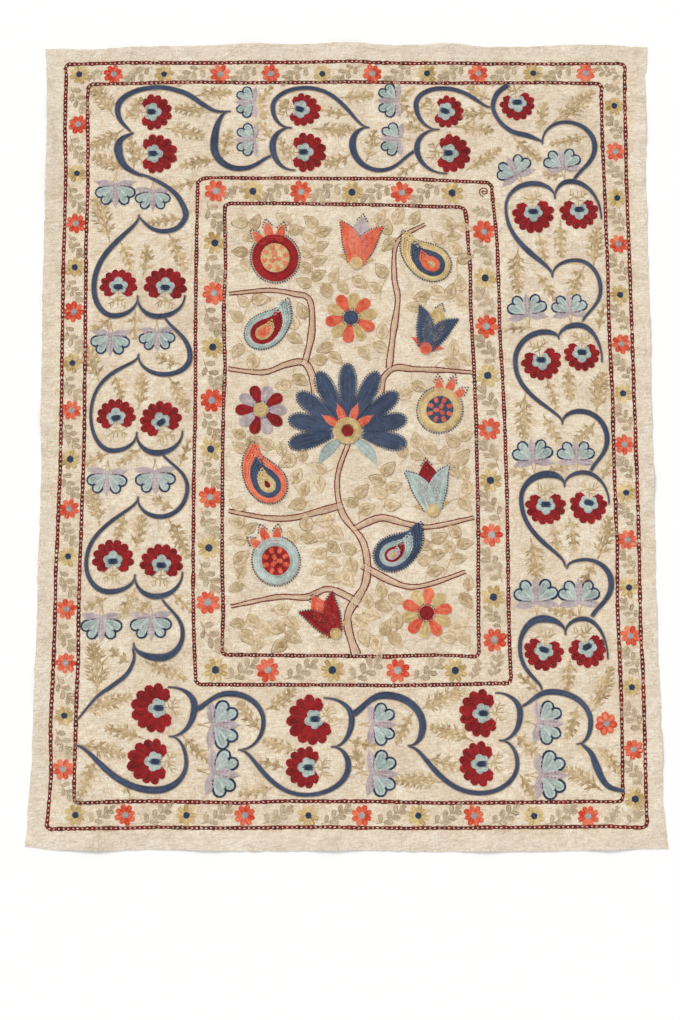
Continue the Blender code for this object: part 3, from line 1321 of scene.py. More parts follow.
@dataclass
class GuardLines:
    """Four closed rectangles of open ladder stitch that part the borders."""

    width: float = 6.0
    wander: float = 0.7
    corner: float = 6.0  # how far before and after a corner the line is eased round it

    def _eased(self, corners: Line) -> list[Point]:
        """The same rectangle with its four sharp corners cut.

        Args:
            corners: the line's places.

        Returns:
            The places, two of them for each sharp corner.
        """
        eased: list[Point] = []
        for k, (x, y) in enumerate(corners):
            ways = []
            for nx, ny in (corners[k - 1], corners[(k + 1) % len(corners)]):
                length = math.dist((x, y), (nx, ny))
                ways.append(((nx - x) / length, (ny - y) / length))
            if ways[0][0] * ways[1][0] + ways[0][1] * ways[1][1] > -0.6:
                eased += [(x + self.corner * wx, y + self.corner * wy) for wx, wy in ways]
            else:
                eased.append((x, y))
        return eased

    def _line(self, corners: Line, lane: float) -> list[Point]:
        """One rectangle in short straight steps, with the small wander of hand work.

        Args:
            corners: the line's places.
            lane: what parts its wander from the other lines'.

        Returns:
            Its points.
        """
        line: list[Point] = []
        for (ax, ay), (bx, by) in zip(corners, [*corners[1:], corners[0]]):
            pieces = max(1, round(math.hypot(bx - ax, by - ay) / 16))
            for k in range(pieces):
                x, y = ax + (bx - ax) * k / pieces, ay + (by - ay) * k / pieces
                dx = self.wander * drift(x / 45, y / 45, lane)
                dy = self.wander * drift(x / 45, y / 45, lane + 40)
                line.append((x + dx, y + dy))
        return line

    def work(self, basket: Workbasket) -> None:
        """Works the four lines, the inner two in shorter stitches.

        Args:
            basket: the workbasket.
        """
        for lane, corners in enumerate(GUARD_LINES):
            line = self._line(self._eased(corners), 10.0 * lane)
            widths = [self.width * (1 + 0.22 * drift(x / 21, y / 21, lane)) for x, y in line]
            basket.work("guard_lines" if lane < 2 else "inner_guard_lines", [Row(line, widths, True)])


@dataclass
class RosetteFlower:
    """The small eight-petal flower of the narrow borders."""

    radius: float = 18.0
    eye_radius: float = 5.6
    petals: int = 8
    petal_width: float = 9.6
    stitch: float = 2.9

    def work(self, basket: Workbasket, petals: str, eye: str, at: Placement) -> None:
        """Works one flower.

        Args:
            basket: the workbasket.
            petals: the piece of its petals.
            eye: the piece of its eye.
            at: its placement.
        """
        root = 0.6 * self.eye_radius
        slim, variety, rim = (0.88, 0.5, -0.12) if petals == "mustard_flowers" else (0.98, 0.8, -0.24)
        shape = PetalShape(self.radius - root, slim * self.petal_width, widest=0.66, base=0.1)
        for k in range(self.petals):
            turn = 360 / self.petals * (k + 0.5)
            size = 1 + 0.16 * drift(at.x / 3 + k, at.y / 3, 2.6)
            shade = rim + variety * drift(at.x / 9 + k, at.y / 9, 0.3)
            rows = shape.loops(self.stitch, shade, -0.5)
            basket.work(petals, rows, at.inner(*off(0, 0, turn, root), turn, size))
        radius = self.eye_radius * (1.04 if eye == "indigo_eyes" else 0.96)
        basket.work(eye, ring_rows(radius, 2.4, squash=0.95), at)


@dataclass
class LeafSprig:
    """The taupe sprig between two flowers, with leaves that point on and leaves that point in."""

    leaf: PetalShape = PetalShape(14.5, 8.0, widest=0.55, base=0.2)
    stem: tuple[Point, ...] = ((-20.0, -12.5), (-14.0, -11.0), (-5.0, -7.0), (6.0, 1.0), (15.0, 8.5))
    places: tuple[Triple, ...] = (  # each leaf's root, and its way
        (-15, -11, 88), (-9, -10, -4), (-2.5, -4.5, 84), (2.5, -3, -3), (8, 3.5, 88), (12, 5.5, 2),
        (15, 8.5, 44),
    )  # fmt: skip

    def work(self, basket: Workbasket, at: Placement) -> None:
        """Works one sprig.

        Args:
            basket: the workbasket.
            at: the placement of its middle, with its way along the border.
        """
        basket.work("border_sprigs", [plain_row(flowing(self.stem, 3.0), 1.4)], at)
        for k, (u, v, turn) in enumerate(self.places):
            chance = drift(at.x / 7 + k, at.y / 7, 2.2)
            spot = at.inner(u, v, turn + 26 * chance, 0.98 + 0.34 * chance)
            rim = plain_row(self.leaf.outline(-1.0), 2.4, True, 0.5 * chance)
            basket.work("border_sprigs", [rim], spot)
            basket.work("sprig_leaves", [tapered_row([(3, 0), (7, 0), (11.5, 0)], 3.9)], spot)


class FlowerRun(NamedTuple):
    """The flowers along one side of a narrow border: how far out they lie, where each sits, its colour."""

    side: Side
    out: tuple[float, float]  # at the first flower and at the last
    along: tuple[float, ...]
    colours: str  # C is coral, M is mustard

    def spots(self) -> list[tuple[Point, str]]:
        """The flowers' places, with their colours.

        Returns:
            Each flower's place and colour.
        """
        found = []
        for along, colour in zip(self.along, self.colours):
            share = (along - self.along[0]) / (self.along[-1] - self.along[0])
            out = self.out[0] + (self.out[1] - self.out[0]) * share
            upright = self.side in (Side.LEFT, Side.RIGHT)
            found.append(((out, along) if upright else (along, out), colour))
        return found


CURL_SPOT: Point = (249.0, 446.0)


@dataclass
class NarrowBorder:
    """A border of flowers and sprigs between two guard lines."""

    runs: tuple[FlowerRun, ...]
    flower_size: float
    sprig_size: float
    flower: RosetteFlower = field(default_factory=RosetteFlower)
    sprig: LeafSprig = field(default_factory=LeafSprig)

    def work(self, basket: Workbasket) -> None:
        """Works the flowers, and a sprig between each two that follow each other.

        Args:
            basket: the workbasket.
        """
        spots = [spot for run in self.runs for spot in run.spots()]
        for k, ((x, y), colour) in enumerate(spots):
            coral = colour == "C"
            petals, eye = ("coral_flowers", "ash_eyes") if coral else ("mustard_flowers", "indigo_eyes")
            size = self.flower_size * (1 + 0.07 * drift(x / 17, y / 17, 1.0))
            self.flower.work(basket, petals, eye, Placement(x, y, 60 * drift(x, y, 6.0), size))
            (nx, ny), _ = spots[(k + 1) % len(spots)]
            away = math.dist((x, y), (nx, ny))
            if away < 50:
                continue
            heading = math.degrees(math.atan2(y - ny, x - nx))
            if min(abs(x - nx), abs(y - ny)) < 25:
                size = self.sprig_size * min(1.1, (away - 28) / 60)
                self.sprig.work(basket, Placement((x + nx) / 2, (y + ny) / 2, heading, size))
                continue
            # Round a corner, one sprig lies in the corner and a smaller one next to it.
            cx, cy = max(x, nx, key=abs), max(y, ny, key=abs)
            for ox, oy, share, size in ((x, y, 0.16, 0.95), (nx, ny, 0.5, 0.66)):
                spot = Placement(cx + share * (ox - cx), cy + share * (oy - cy), heading, size)
                if math.dist((spot.x, spot.y), CURL_SPOT) > 22:
                    self.sprig.work(basket, spot)


OUTER_BORDER = NarrowBorder(
    (
        FlowerRun(
            Side.TOP, (668, 670), (-488, -425, -333, -230, -138, -44, 48, 147, 241, 341, 437), "MCMCCMCMCMC"
        ),
        FlowerRun(
            Side.RIGHT, (488, 497),
            (608, 521, 434, 348, 254, 164, 74, -19, -105, -189, -273, -358, -447, -554, -639),
            "MCMCMCMCMCMCMCM",
        ),
        FlowerRun(
            Side.BOTTOM, (-668, -666), (415, 322, 219, 123, 26, -66, -175, -276, -381, -467), "CMCMCMCMCM"
        ),
        FlowerRun(
            Side.LEFT, (-490, -488),
            (-588, -496, -405, -311, -218, -134, -45, 43, 129, 223, 305, 386, 480, 573), "CMCCMCMCMCMCMC",
        ),
    ),
    flower_size=1.0,
    sprig_size=1.0,
)  # fmt: skip
INNER_BORDER = NarrowBorder(
    (
        FlowerRun(Side.TOP, (447, 443), (-236, -169, -82, 10, 100, 191), "CMCMCM"),
        FlowerRun(Side.RIGHT, (248, 258), (371, 285, 196, 106, 9, -83, -180, -290, -365), "CMCMCMCMC"),
        FlowerRun(Side.BOTTOM, (-418, -417), (189, 89, -25, -137, -228), "MCMCM"),
        FlowerRun(Side.LEFT, (-243, -237), (-299, -203, -113, -27, 61, 158, 257, 350), "CMCMCMCM"),
    ),
    flower_size=1.15,
    sprig_size=1.12,
)


# ---- The wide scroll border ----


@dataclass
class Carnation:
    """The red fan of scallops round a pale lobed heart, open at the front between two horns."""

    scallops: int = 10
    spread: float = 236.0  # degrees from the first scallop to the last
    root: float = 12.0
    stitch: float = 3.9
    lobes: tuple[Triple, ...] = (
        (-11.0, 0.0, 8.2), (-3.5, 9.8, 7.4), (-3.5, -9.8, 7.4), (5.5, 8.4, 5.4), (5.5, -8.4, 5.4)
    )  # fmt: skip
    horn: tuple[Point, ...] = ((3.0, 23.0), (9.5, 22.5), (14.0, 18.5), (14.5, 13.5), (12.0, 10.5))
    eye: tuple[Point, ...] = ((0.0, 11.5), (3.1, 8.5), (-3.1, 8.5))  # each row, and its length
    # The spray: the start of each blade, its way and its length.
    spray: tuple[tuple[float, float, float, float], ...] = (
        (22, -2, 66, 18), (22, -2, -62, 16), (22, -2, 6, 12), (26, 5, 14, 8), (30, 11, 4, 7),
        (26, -8, -10, 8), (30, -14, 8, 6), (25, 3, 112, 8), (24, -7, -114, 8), (18, -1, 100, 7),
    )  # fmt: skip

    def _reach(self, turn: float, side: float, back: float) -> float:
        """How far the fan reaches at an angle off its back, in degrees.

        Args:
            turn: the angle, in degrees.
            side: its reach to each side.
            back: its reach at the back.

        Returns:
            The reach.
        """
        away = math.radians(turn)
        if abs(turn) > 90:
            return side * (1 - 0.4 * ((abs(turn) - 90) / 52) ** 1.4)
        return 1 / math.hypot(math.cos(away) / back, math.sin(away) / side)

    def work(self, basket: Workbasket, at: Placement, side: float, back: float) -> None:
        """Works one carnation, with its open side forward.

        Args:
            basket: the workbasket.
            at: the placement of its eye.
            side: how far it reaches to each side.
            back: how far it reaches at the back.
        """
        ring = self.root + 0.4
        while ring < side - 10:
            turns = range(-122, 123, 8)
            arc = [off(0, 0, 180 + turn, self._reach(turn, side, back) * ring / side) for turn in turns]
            basket.work("carnation_petals", [plain_row(arc, self.stitch, shade=-0.06)], at)
            ring += self.stitch * 0.94
        step = self.spread / (self.scallops - 1)
        for k in range(self.scallops):
            turn = step * k - self.spread / 2
            reach = self._reach(turn, side, back) * (1 + 0.06 * drift(at.x, at.y, 3.0 * k))
            shape = PetalShape(reach - self.root, 0.98 * math.radians(step) * (reach - 4.5), 0.72, base=0.5)
            shade = 0.02 - 0.05 * (k % 2) + 0.16 * drift(at.x / 7 + k, at.y / 7, 5.0)
            spot = at.inner(*off(0, 0, 180 + turn, self.root), 180 + turn)
            rows = shape.loops(shape.width / 4.05, shade, 0.16)
            basket.work("carnation_petals", lifted(rows, 0.35), spot)
        for way in (-1, 1):
            points = [(u * side / 35, v * way * side / 35) for u, v in self.horn]
            horn = tapered_row(flowing(points, 3.0), 8.0, 0.5, 0.05)
            basket.work("carnation_petals", lifted([horn], 0.4), at)
        for u, v, radius in self.lobes:
            basket.work("trefoil_hearts", ring_rows(radius, 2.9), at.inner(u, v))
        for v, length in self.eye:
            row = bend((-0.5 * length, v), (0.5 * length, v), 0.0, 3.0)
            basket.work("heart_eyes", [plain_row(row, 3.8)], at.inner(0, 0, -at.heading))
        basket.work("fern_sprigs", [plain_row(bend((8, 0), (23, -2), 1.0, 3.0), 1.5)], at)
        for u, v, turn, length in self.spray:
            blade = tapered_row(bend((0, 0), (length, 0), 1.0, 3.0), 2.8, 0.6)
            basket.work("fern_sprigs", [blade], at.inner(u, v, turn))


@dataclass
class Lotus:
    """Two pale two-lobed petals edged in indigo, with a lilac leaf between them and two behind."""

    width: float = 66.0
    lobes: tuple[Triple, ...] = ((27.0, 33.0, 14.0), (66.0, 31.0, 15.0))
    centre_leaf: PetalShape = PetalShape(35.0, 14.5, widest=0.5, rounded=False, base=0.25)
    wing: PetalShape = PetalShape(34.0, 15.0, widest=0.5, rounded=False, base=0.3)
    stitch: float = 3.0
    edge: float = 3.6

    def work(self, basket: Workbasket, at: Placement) -> None:
        """Works one lotus, which opens forward.

        Args:
            basket: the workbasket.
            at: the placement of the root of its petals.
        """
        for side in (-1, 1):
            for turn, length, width in self.lobes:
                shape = PetalShape(length, width, widest=0.74, base=0.22)
                spot = at.inner(-2, 4.5 * side, turn * side)
                basket.work("lotus_petals", shape.loops(self.stitch, 0.2, 0.34), spot)
                rim = shape.outline(self.edge / 2, 14)
                low, high = (1, 7) if turn < 40 else (7, 2)
                low, high = (low, high) if side > 0 else (high, low)
                basket.work("lotus_edges", lifted([tapered_row(rim[low:-high], self.edge, 0.8)], 0.4), spot)
            wing = at.inner(-7, 0.5 * side, 99 * side)
            basket.work("lilac_leaves", lifted(self.wing.ribs(4, bow=-1.5 * side), 0.3), wing)
            tendril = plain_row(bend((-10, 5 * side), (-28, side), 1.5 * side), 1.6)
            basket.work("fern_sprigs", [tendril], at)
        basket.work("lilac_leaves", lifted(self.centre_leaf.ribs(4), 0.9), at.inner(-3, 0))


@dataclass
class Fern:
    """A feathery gold-taupe sprig: a stem with blunt narrow leaflets in pairs."""

    spacing: float = 10.6
    stitch: float = 3.7
    spread: float = 40.0  # degrees between a leaflet and the stem
    lobe: float = 0.30  # of the leaflet's length, for the lobe on each side of it

    def work(self, basket: Workbasket, start: Point, end: Point, width: float, bow: float) -> None:
        """Works a fern from its root to its tip.

        Args:
            basket: the workbasket.
            start: its root.
            end: its tip.
            width: its width over its leaflets.
            bow: how far its stem bows to the left.
        """
        length = math.dist(start, end)
        piece = "fern_sprigs" if start[0] < 0 else "fern_fronds"
        stem = bend(start, end, bow, 3.0)
        basket.work(piece, [tapered_row(stem, 3.8, 0.55, -0.12)])
        normals = normals_of(stem)
        pairs = max(3, round(0.84 * length / self.spacing))
        reach_full = 0.5 * width / math.sin(math.radians(self.spread))
        for k in range(pairs):
            t = 0.12 + 0.8 * k / (pairs - 1)
            index = min(len(stem) - 1, round(t * (len(stem) - 1)))
            (x, y), (nx, ny) = stem[index], normals[index]
            forward = math.degrees(math.atan2(ny, nx)) - 90
            reach = reach_full * (0.5 + 0.46 * math.sin(math.pi * min(1.0, t + 0.1)) - 0.22 * t)
            for side in (-1, 1):
                turn = self.spread + 10 * drift(x / 3, y / 3, side) - 10 * t
                far = reach * (1 + 0.22 * drift(x / 5, y / 5, 4.0 * side))
                sag = -0.09 * far * side
                shade = 0.3 * drift(x, y, 6.0 * side)
                spot = Placement(x, y, forward + side * turn)
                blade = bend((0, 0), (far, 0), sag, 3.0)
                basket.work(piece, [tapered_row(blade, self.stitch, 0.72, shade)], spot)
                lobe_end = (self.lobe * far, 0.0)
                lobe = plain_row([(0.0, 0.0), lobe_end], 0.78 * self.stitch, False, shade - 0.1)
                for lean in (-38, 38):
                    basket.work(piece, [lobe], spot.inner(0.5 * far, sag, lean))


class Heart(NamedTuple):
    """One heart of the scroll, by the places where its strokes turn, and its widths between them."""

    side: Side
    tip: Point
    shoulder: Point
    outer_lobe: Point
    cusp: Point
    inner_lobe: Point
    inner_end: Point
    hook_start: Point
    hook_side: Point
    hook_lobe: Point
    hook_end: Point
    widths: tuple[float, ...]  # near the tip, shoulder, outer and inner lobe, hook's start, side and lobe
    ease: float  # how early the first stroke turns along its shoulder


HEARTS = tuple(
    Heart(side, *row)
    for side, rows in (
        (Side.LEFT, (
            ((-374, 400), (-453, 269), (-416, 215), (-374, 249), (-338, 214), (-290, 251), (-324, 210),
             (-279, 140), (-324, 108), (-371, 143), (8.6, 8.4, 8.4, 9.2, 3.2, 8.8, 7.7), 0.57),
            ((-371, 143), (-454, 35), (-414, -30), (-372, 1), (-336, -34), (-291, 4), (-325, -37),
             (-281, -97), (-328, -148), (-368, -115), (6.2, 4.6, 7.9, 9.8, 3.2, 6.3, 7.7), 0.8),
            ((-368, -115), (-457, -230), (-416, -281), (-371, -253), (-334, -289), (-288, -248),
             (-321, -296), (-286, -354), (-325, -396), (-371, -372), (6.0, 6.1, 8.8, 9.3, 3.2, 6.5, 12.4),
             0.61),
        )),
        (Side.BOTTOM, (
            ((-468, -548), (-330, -624), (-277, -578), (-305, -532), (-264, -480), (-308, -447),
             (-258, -484), (-203, -458), (-144, -507), (-185, -555),
             (9.4, 11.6, 6.0, 10.7, 8.8, 9.6, 6.8), 0.57),
            ((-183, -556), (-70, -632), (3, -582), (-24, -550), (9, -501), (-37, -466), (14, -492),
             (67, -461), (132, -514), (108, -548), (7.8, 6.2, 9.6, 9.7, 10.5, 12, 11.4), 0.6),
            ((110, -550), (230, -629), (295, -578), (267, -539), (301, -492), (261, -457), (307, -479),
             (357, -455), (423, -507), (400, -545), (8.4, 7.2, 6.6, 9.6, 3.6, 9.6, 8.0), 0.6),
        )),
        (Side.RIGHT, (
            ((339, -451), (302, -379), (343, -328), (382, -353), (413, -328), (455, -396), (430, -322),
             (464, -265), (419, -224), (387, -238), (5.8, 6.2, 12.4, 7.4, 6.4, 9.8, 5.4), 0.6),
            ((383, -234), (308, -117), (356, -72), (385, -92), (418, -69), (463, -123), (433, -64),
             (462, -8), (415, 41), (383, 20), (7.0, 6.8, 12.2, 7.2, 5.0, 8.3, 8.3), 0.6),
            ((383, 20), (301, 131), (354, 185), (379, 174), (414, 198), (456, 133), (424, 208),
             (456, 265), (413, 318), (370, 289), (6.2, 7.6, 9.4, 9.6, 3.6, 6.4, 6.2), 0.6),
            ((370, 289), (288, 416), (338, 461), (377, 435), (405, 465), (460, 397), (414, 471),
             (451, 531), (398, 577), (356, 538), (9.4, 3.9, 8.8, 8.6, 4.8, 8.8, 6.0), 0.6),
        )),
        (Side.TOP, (
            ((262, 605), (173, 641), (127, 610), (166, 562), (128, 528), (180, 480), (121, 520),
             (61, 486), (11, 536), (39, 566), (6.6, 7.2, 8.4, 9.2, 5.2, 7.0, 11.8), 0.6),
            ((38, 567), (-74, 642), (-134, 605), (-102, 566), (-134, 532), (-95, 486), (-139, 512),
             (-193, 489), (-240, 532), (-214, 597), (6.6, 6.6, 7.6, 11, 4.4, 8.8, 13.6), 0.6),
        )),
    )
    for row in rows
)  # fmt: skip
# The strokes that turn the corners: places with the stroke's width at each.
CORNER_STROKES = (
    (
        (-214, 597, 2), (-239, 598, 5.5), (-262, 611, 8), (-294, 632, 8.4), (-340, 643, 7.5),
        (-386, 635, 8.4), (-414, 613, 10.2), (-413, 584, 8), (-393, 560, 2.4),
    ),
    (
        (-388, 556, 2.4), (-409, 544, 9), (-414, 525, 15), (-404, 497, 11), (-381, 480, 6),
        (-358, 474, 3),
    ),
    (
        (-369, 478, 3), (-338, 463, 6.5), (-316, 448, 7.4), (-301, 431, 8.4), (-290, 406, 10),
        (-294, 390, 8.6), (-306, 377, 8), (-328, 371, 7.6), (-350, 376, 6), (-367, 390, 3.6),
        (-374, 399, 2),
    ),
    (
        (293, 646, 8.5), (275, 631, 8.4), (267, 606, 7), (278, 579, 6.6), (301, 559, 8), (330, 551, 9),
        (354, 541, 3),
    ),
    (
        (-372, -381, 3), (-370, -398, 4.4), (-382, -424, 6.2), (-409, -446, 6.6), (-434, -464, 4.6),
        (-464, -500, 2),
    ),
    (
        (406, -545, 2.6), (422, -560, 8), (432, -584, 12.2), (441, -605, 10), (454, -619, 8),
        (475, -625, 5.6),
    ),
)  # fmt: skip


# Carnations: the place of the eye, the way it opens, and its reach to the side and the back.
CARNATIONS = (
    (-355, 596, 180, 34, 38), (-351, 517, 180, 37, 45), (-85, 601, 172, 31, 39), (-78, 520, 180, 37, 42),
    (179, 597, 170, 31, 35), (185, 518, 175, 36, 41), (311, 614, 100, 32, 34), (337, 408, 95, 38, 40),
    (420, 412, 92, 35, 36), (347, 134, 102, 36, 37), (420, 148, 88, 32, 34), (351, -126, 92, 36, 36),
    (427, -123, 84, 33, 38), (344, -382, 82, 35, 37), (419, -377, 104, 33, 37), (-409, 268, -90, 34, 33),
    (-325, 267, -92, 39, 37), (-409, 29, -86, 35, 35), (-329, 21, -72, 38, 39), (-410, -227, -90, 37, 39),
    (-325, -234, -92, 38, 38), (-326, -483, 4, 43, 49), (-331, -575, -2, 39, 50), (-55, -502, 18, 44, 50),
    (-66, -585, 0, 36, 40), (237, -492, 4, 42, 42), (233, -579, 2, 39, 39),
)  # fmt: skip
# Lotuses: the place where the petals meet, the way they open, and the width.
LOTUSES = (
    (-418, 452, -90, 67), (-350, 440, -90, 59), (-422, 175, -92, 65), (-339, 181, -88, 60),
    (-423, -76, -92, 66), (-338, -74, -88, 66), (-428, -333, -90, 67), (-342, -331, -88, 67),
    (-175, 615, 180, 55), (-173, 544, 180, 57), (86, 618, 180, 60), (90, 544, 177, 58),
    (307, 482, 118, 63), (392, 496, 97, 63), (324, 223, 95, 66), (400, 226, 95, 60), (330, -42, 95, 67),
    (406, -42, 91, 62), (332, -292, 93, 72), (407, -292, 91, 68), (-224, -512, 0, 78),
    (-224, -594, -7, 77), (52, -511, 0, 68), (51, -595, -2, 74), (340, -508, -3, 70), (342, -598, 0, 78),
)  # fmt: skip
# Ferns: the root, the tip and the width.
FERNS = (
    (-427, 355, -455, 431, 39), (-406, 350, -388, 304, 26), (-365, 291, -359, 341, 28),
    (-320, 367, -290, 300, 26), (-300, 395, -360, 386, 21), (-424, 210, -450, 190, 25),
    (-378, 221, -377, 177, 25), (-299, 128, -335, 140, 25), (-442, 98, -464, 155, 35),
    (-415, 110, -401, 68, 23), (-369, 50, -365, 109, 32), (-317, 103, -282, 42, 26),
    (-425, -36, -459, -53, 19), (-365, -26, -403, -53, 21), (-294, -53, -281, -13, 18),
    (-308, -132, -338, -116, 23), (-435, -160, -455, -104, 35), (-392, -143, -404, -187, 21),
    (-371, -203, -362, -146, 28), (-313, -153, -279, -219, 25), (-423, -293, -456, -309, 21),
    (-371, -276, -393, -321, 28), (-346, -298, -363, -319, 16), (-305, -284, -274, -314, 21),
    (-434, -457, -442, -374, 46), (-381, -403, -408, -382, 21), (-349, -403, -280, -433, 21),
    (-459, -490, -375, -464, 32), (-353, -535, -417, -519, 28), (-463, -547, -385, -564, 32),
    (-432, -570, -458, -634, 25), (-392, -598, -372, -636, 18), (-285, -530, -238, -574, 23),
    (-151, -520, -187, -474, 26), (-140, -486, -90, -452, 30), (-84, -556, -143, -538, 26),
    (-109, -586, -148, -576, 21), (-128, -619, -182, -630, 26), (4, -538, 46, -548, 23),
    (28, -595, 16, -559, 26), (113, -493, 87, -545, 21), (128, -485, 204, -454, 33),
    (217, -539, 148, -516, 32), (140, -571, 191, -586, 30), (163, -610, 87, -607, 33),
    (291, -529, 329, -564, 26), (333, -455, 302, -428, 23), (400, -480, 382, -535, 25),
    (425, -490, 460, -414, 32), (433, -551, 472, -595, 23), (439, -624, 377, -588, 30),
    (300, -599, 323, -637, 21), (309, 339, 308, 260, 35), (345, 290, 372, 247, 19),
    (427, 306, 407, 260, 32), (445, 307, 454, 378, 35), (386, 390, 388, 325, 26), (348, 364, 357, 312, 19),
    (327, 194, 286, 190, 21), (452, 192, 462, 234, 18), (379, 579, 448, 634, 36), (352, 563, 362, 612, 21),
    (304, 548, 350, 506, 26), (436, 550, 372, 536, 21), (220, 488, 279, 527, 23), (389, 476, 360, 480, 18),
    (318, 73, 315, -7, 35), (357, 98, 373, 48, 19), (395, 120, 400, 62, 26), (444, 39, 457, 109, 39),
    (351, 32, 380, -17, 19), (440, 20, 407, -12, 25), (323, -74, 291, -66, 21), (352, -70, 388, -59, 19),
    (452, -80, 468, -41, 18), (324, -187, 332, -260, 37), (364, -164, 373, -214, 19),
    (392, -149, 400, -203, 26), (441, -223, 463, -150, 35), (434, -230, 415, -263, 23),
    (404, -323, 356, -311, 21), (389, -400, 383, -448, 26), (-424, 589, -464, 646, 37),
    (-407, 562, -462, 531, 32), (-404, 487, -458, 510, 32), (-402, 583, -374, 620, 21),
    (-385, 492, -393, 546, 25), (-274, 627, -212, 633, 28), (-250, 595, -310, 603, 28),
    (-328, 565, -262, 550, 33), (-236, 506, -300, 495, 25), (-225, 507, -212, 559, 25),
    (-161, 615, -138, 643, 18), (-161, 614, -150, 586, 19), (-138, 548, -159, 576, 18),
    (-121, 599, -108, 618, 14), (-113, 517, -121, 546, 14), (-271, 466, -321, 453, 21),
    (-10, 624, 47, 629, 28), (0, 591, -42, 601, 21), (-59, 565, 14, 563, 32), (7, 516, -35, 498, 30),
    (37, 505, 50, 557, 28), (97, 614, 120, 641, 18), (98, 614, 125, 582, 19), (137, 604, 151, 620, 14),
    (138, 561, 109, 570, 21), (200, 568, 265, 559, 28), (262, 594, 212, 589, 28), (262, 620, 224, 643, 25),
    (130, 500, 97, 478, 21),
)  # fmt: skip


@dataclass
class ScrollVine:
    """The indigo scroll of hearts, with its flowers and ferns."""

    rows: int = 3
    edge: float = 1.1
    thin: float = 2.3
    carnation: Carnation = field(default_factory=Carnation)
    lotus: Lotus = field(default_factory=Lotus)
    fern: Fern = field(default_factory=Fern)

    def _work_stroke(self, basket: Workbasket, points: Line, widths: Sequence[float]) -> None:
        """Works one stroke of the scroll in rows side by side, with a fine edge along each side."""
        basket.work("scroll_bands", band_rows(points, widths, self.rows))
        basket.work("scroll_edging", edge_rows(points, widths, self.edge))

    def _heart(self, basket: Workbasket, heart: Heart) -> None:
        """Works the three strokes of one heart.

        Args:
            basket: the workbasket.
            heart: the heart.
        """
        ox, oy = out = heart.side.value
        wx, wy = way = (-oy, ox)  # round the border, with its outside on the right
        back_in = (-ox, -oy)
        near, shoulder, outer, inner, hook_start, hook_side, hook_lobe = heart.widths
        (ax, ay), (bx, by) = heart.tip, heart.shoulder
        gone = (bx - ax) * wx + (by - ay) * wy
        lead, late = 0.2 * gone, heart.ease * gone
        early = (ax + lead * wx, ay + lead * wy)
        handles = (heart.tip, early, (bx - late * wx, by - late * wy), heart.shoulder)
        first = TaperedLine(self.thin).swing(handles, near, shoulder)
        first.turn(heart.outer_lobe, way, outer).turn(heart.cusp, back_in, self.thin)
        second = TaperedLine(self.thin, heart.cusp)
        second.turn(heart.inner_lobe, way, inner).turn(heart.inner_end, back_in, self.thin)
        third = TaperedLine(hook_start)
        (ax, ay), (bx, by) = heart.hook_start, heart.hook_side
        late = 0.5 * ((bx - ax) * wx + (by - ay) * wy)
        early = (ax + 0.3 * (bx - ax), ay + 0.3 * (by - ay))
        handles = (heart.hook_start, early, (bx - late * wx, by - late * wy), heart.hook_side)
        third.swing(handles, 0.7 * hook_side, hook_side).turn(heart.hook_lobe, way, hook_lobe)
        third.turn(heart.hook_end, out, self.thin)
        for line in (first, second, third):
            self._work_stroke(basket, line.points, line.widths)

    def work(self, basket: Workbasket) -> None:
        """Works the whole border.

        Args:
            basket: the workbasket.
        """
        for heart in HEARTS:
            self._heart(basket, heart)
        for stroke in CORNER_STROKES:
            points = flowing([(x, y) for x, y, _ in stroke], 5.0)
            widths = []
            for (ax, ay, near), (bx, by, far) in zip(stroke, stroke[1:]):
                span = max(2, round(math.hypot(bx - ax, by - ay) / 5.0))
                widths += [near + (far - near) * i / span for i in range(span)]
            self._work_stroke(basket, points, [*widths, stroke[-1][2]])
        for x, y, heading, side, back in CARNATIONS:
            self.carnation.work(basket, Placement(x, y, heading, 1.0, 1 if (x + y) % 2 else -1), side, back)
        for x, y, heading, width in LOTUSES:
            self.lotus.work(basket, Placement(x, y, heading, width / self.lotus.width))
        for k, (ax, ay, bx, by, width) in enumerate(FERNS):
            self.fern.work(basket, (ax, ay), (bx, by), width, 0.06 * width * (1 if k % 2 else -1))
        RosetteFlower(radius=19.5, petal_width=13.0, petals=7).work(
            basket, "coral_flowers", "ash_eyes", Placement(450, -510, 20)
        )


# ---- The field ----


class Bloom(Enum):
    """The kinds of bloom that the field's boughs carry."""

    POMEGRANATE = "pomegranate"
    TULIP = "tulip"
    CURLED_LEAF = "curled leaf"
    ROUND_FLOWER = "round flower"


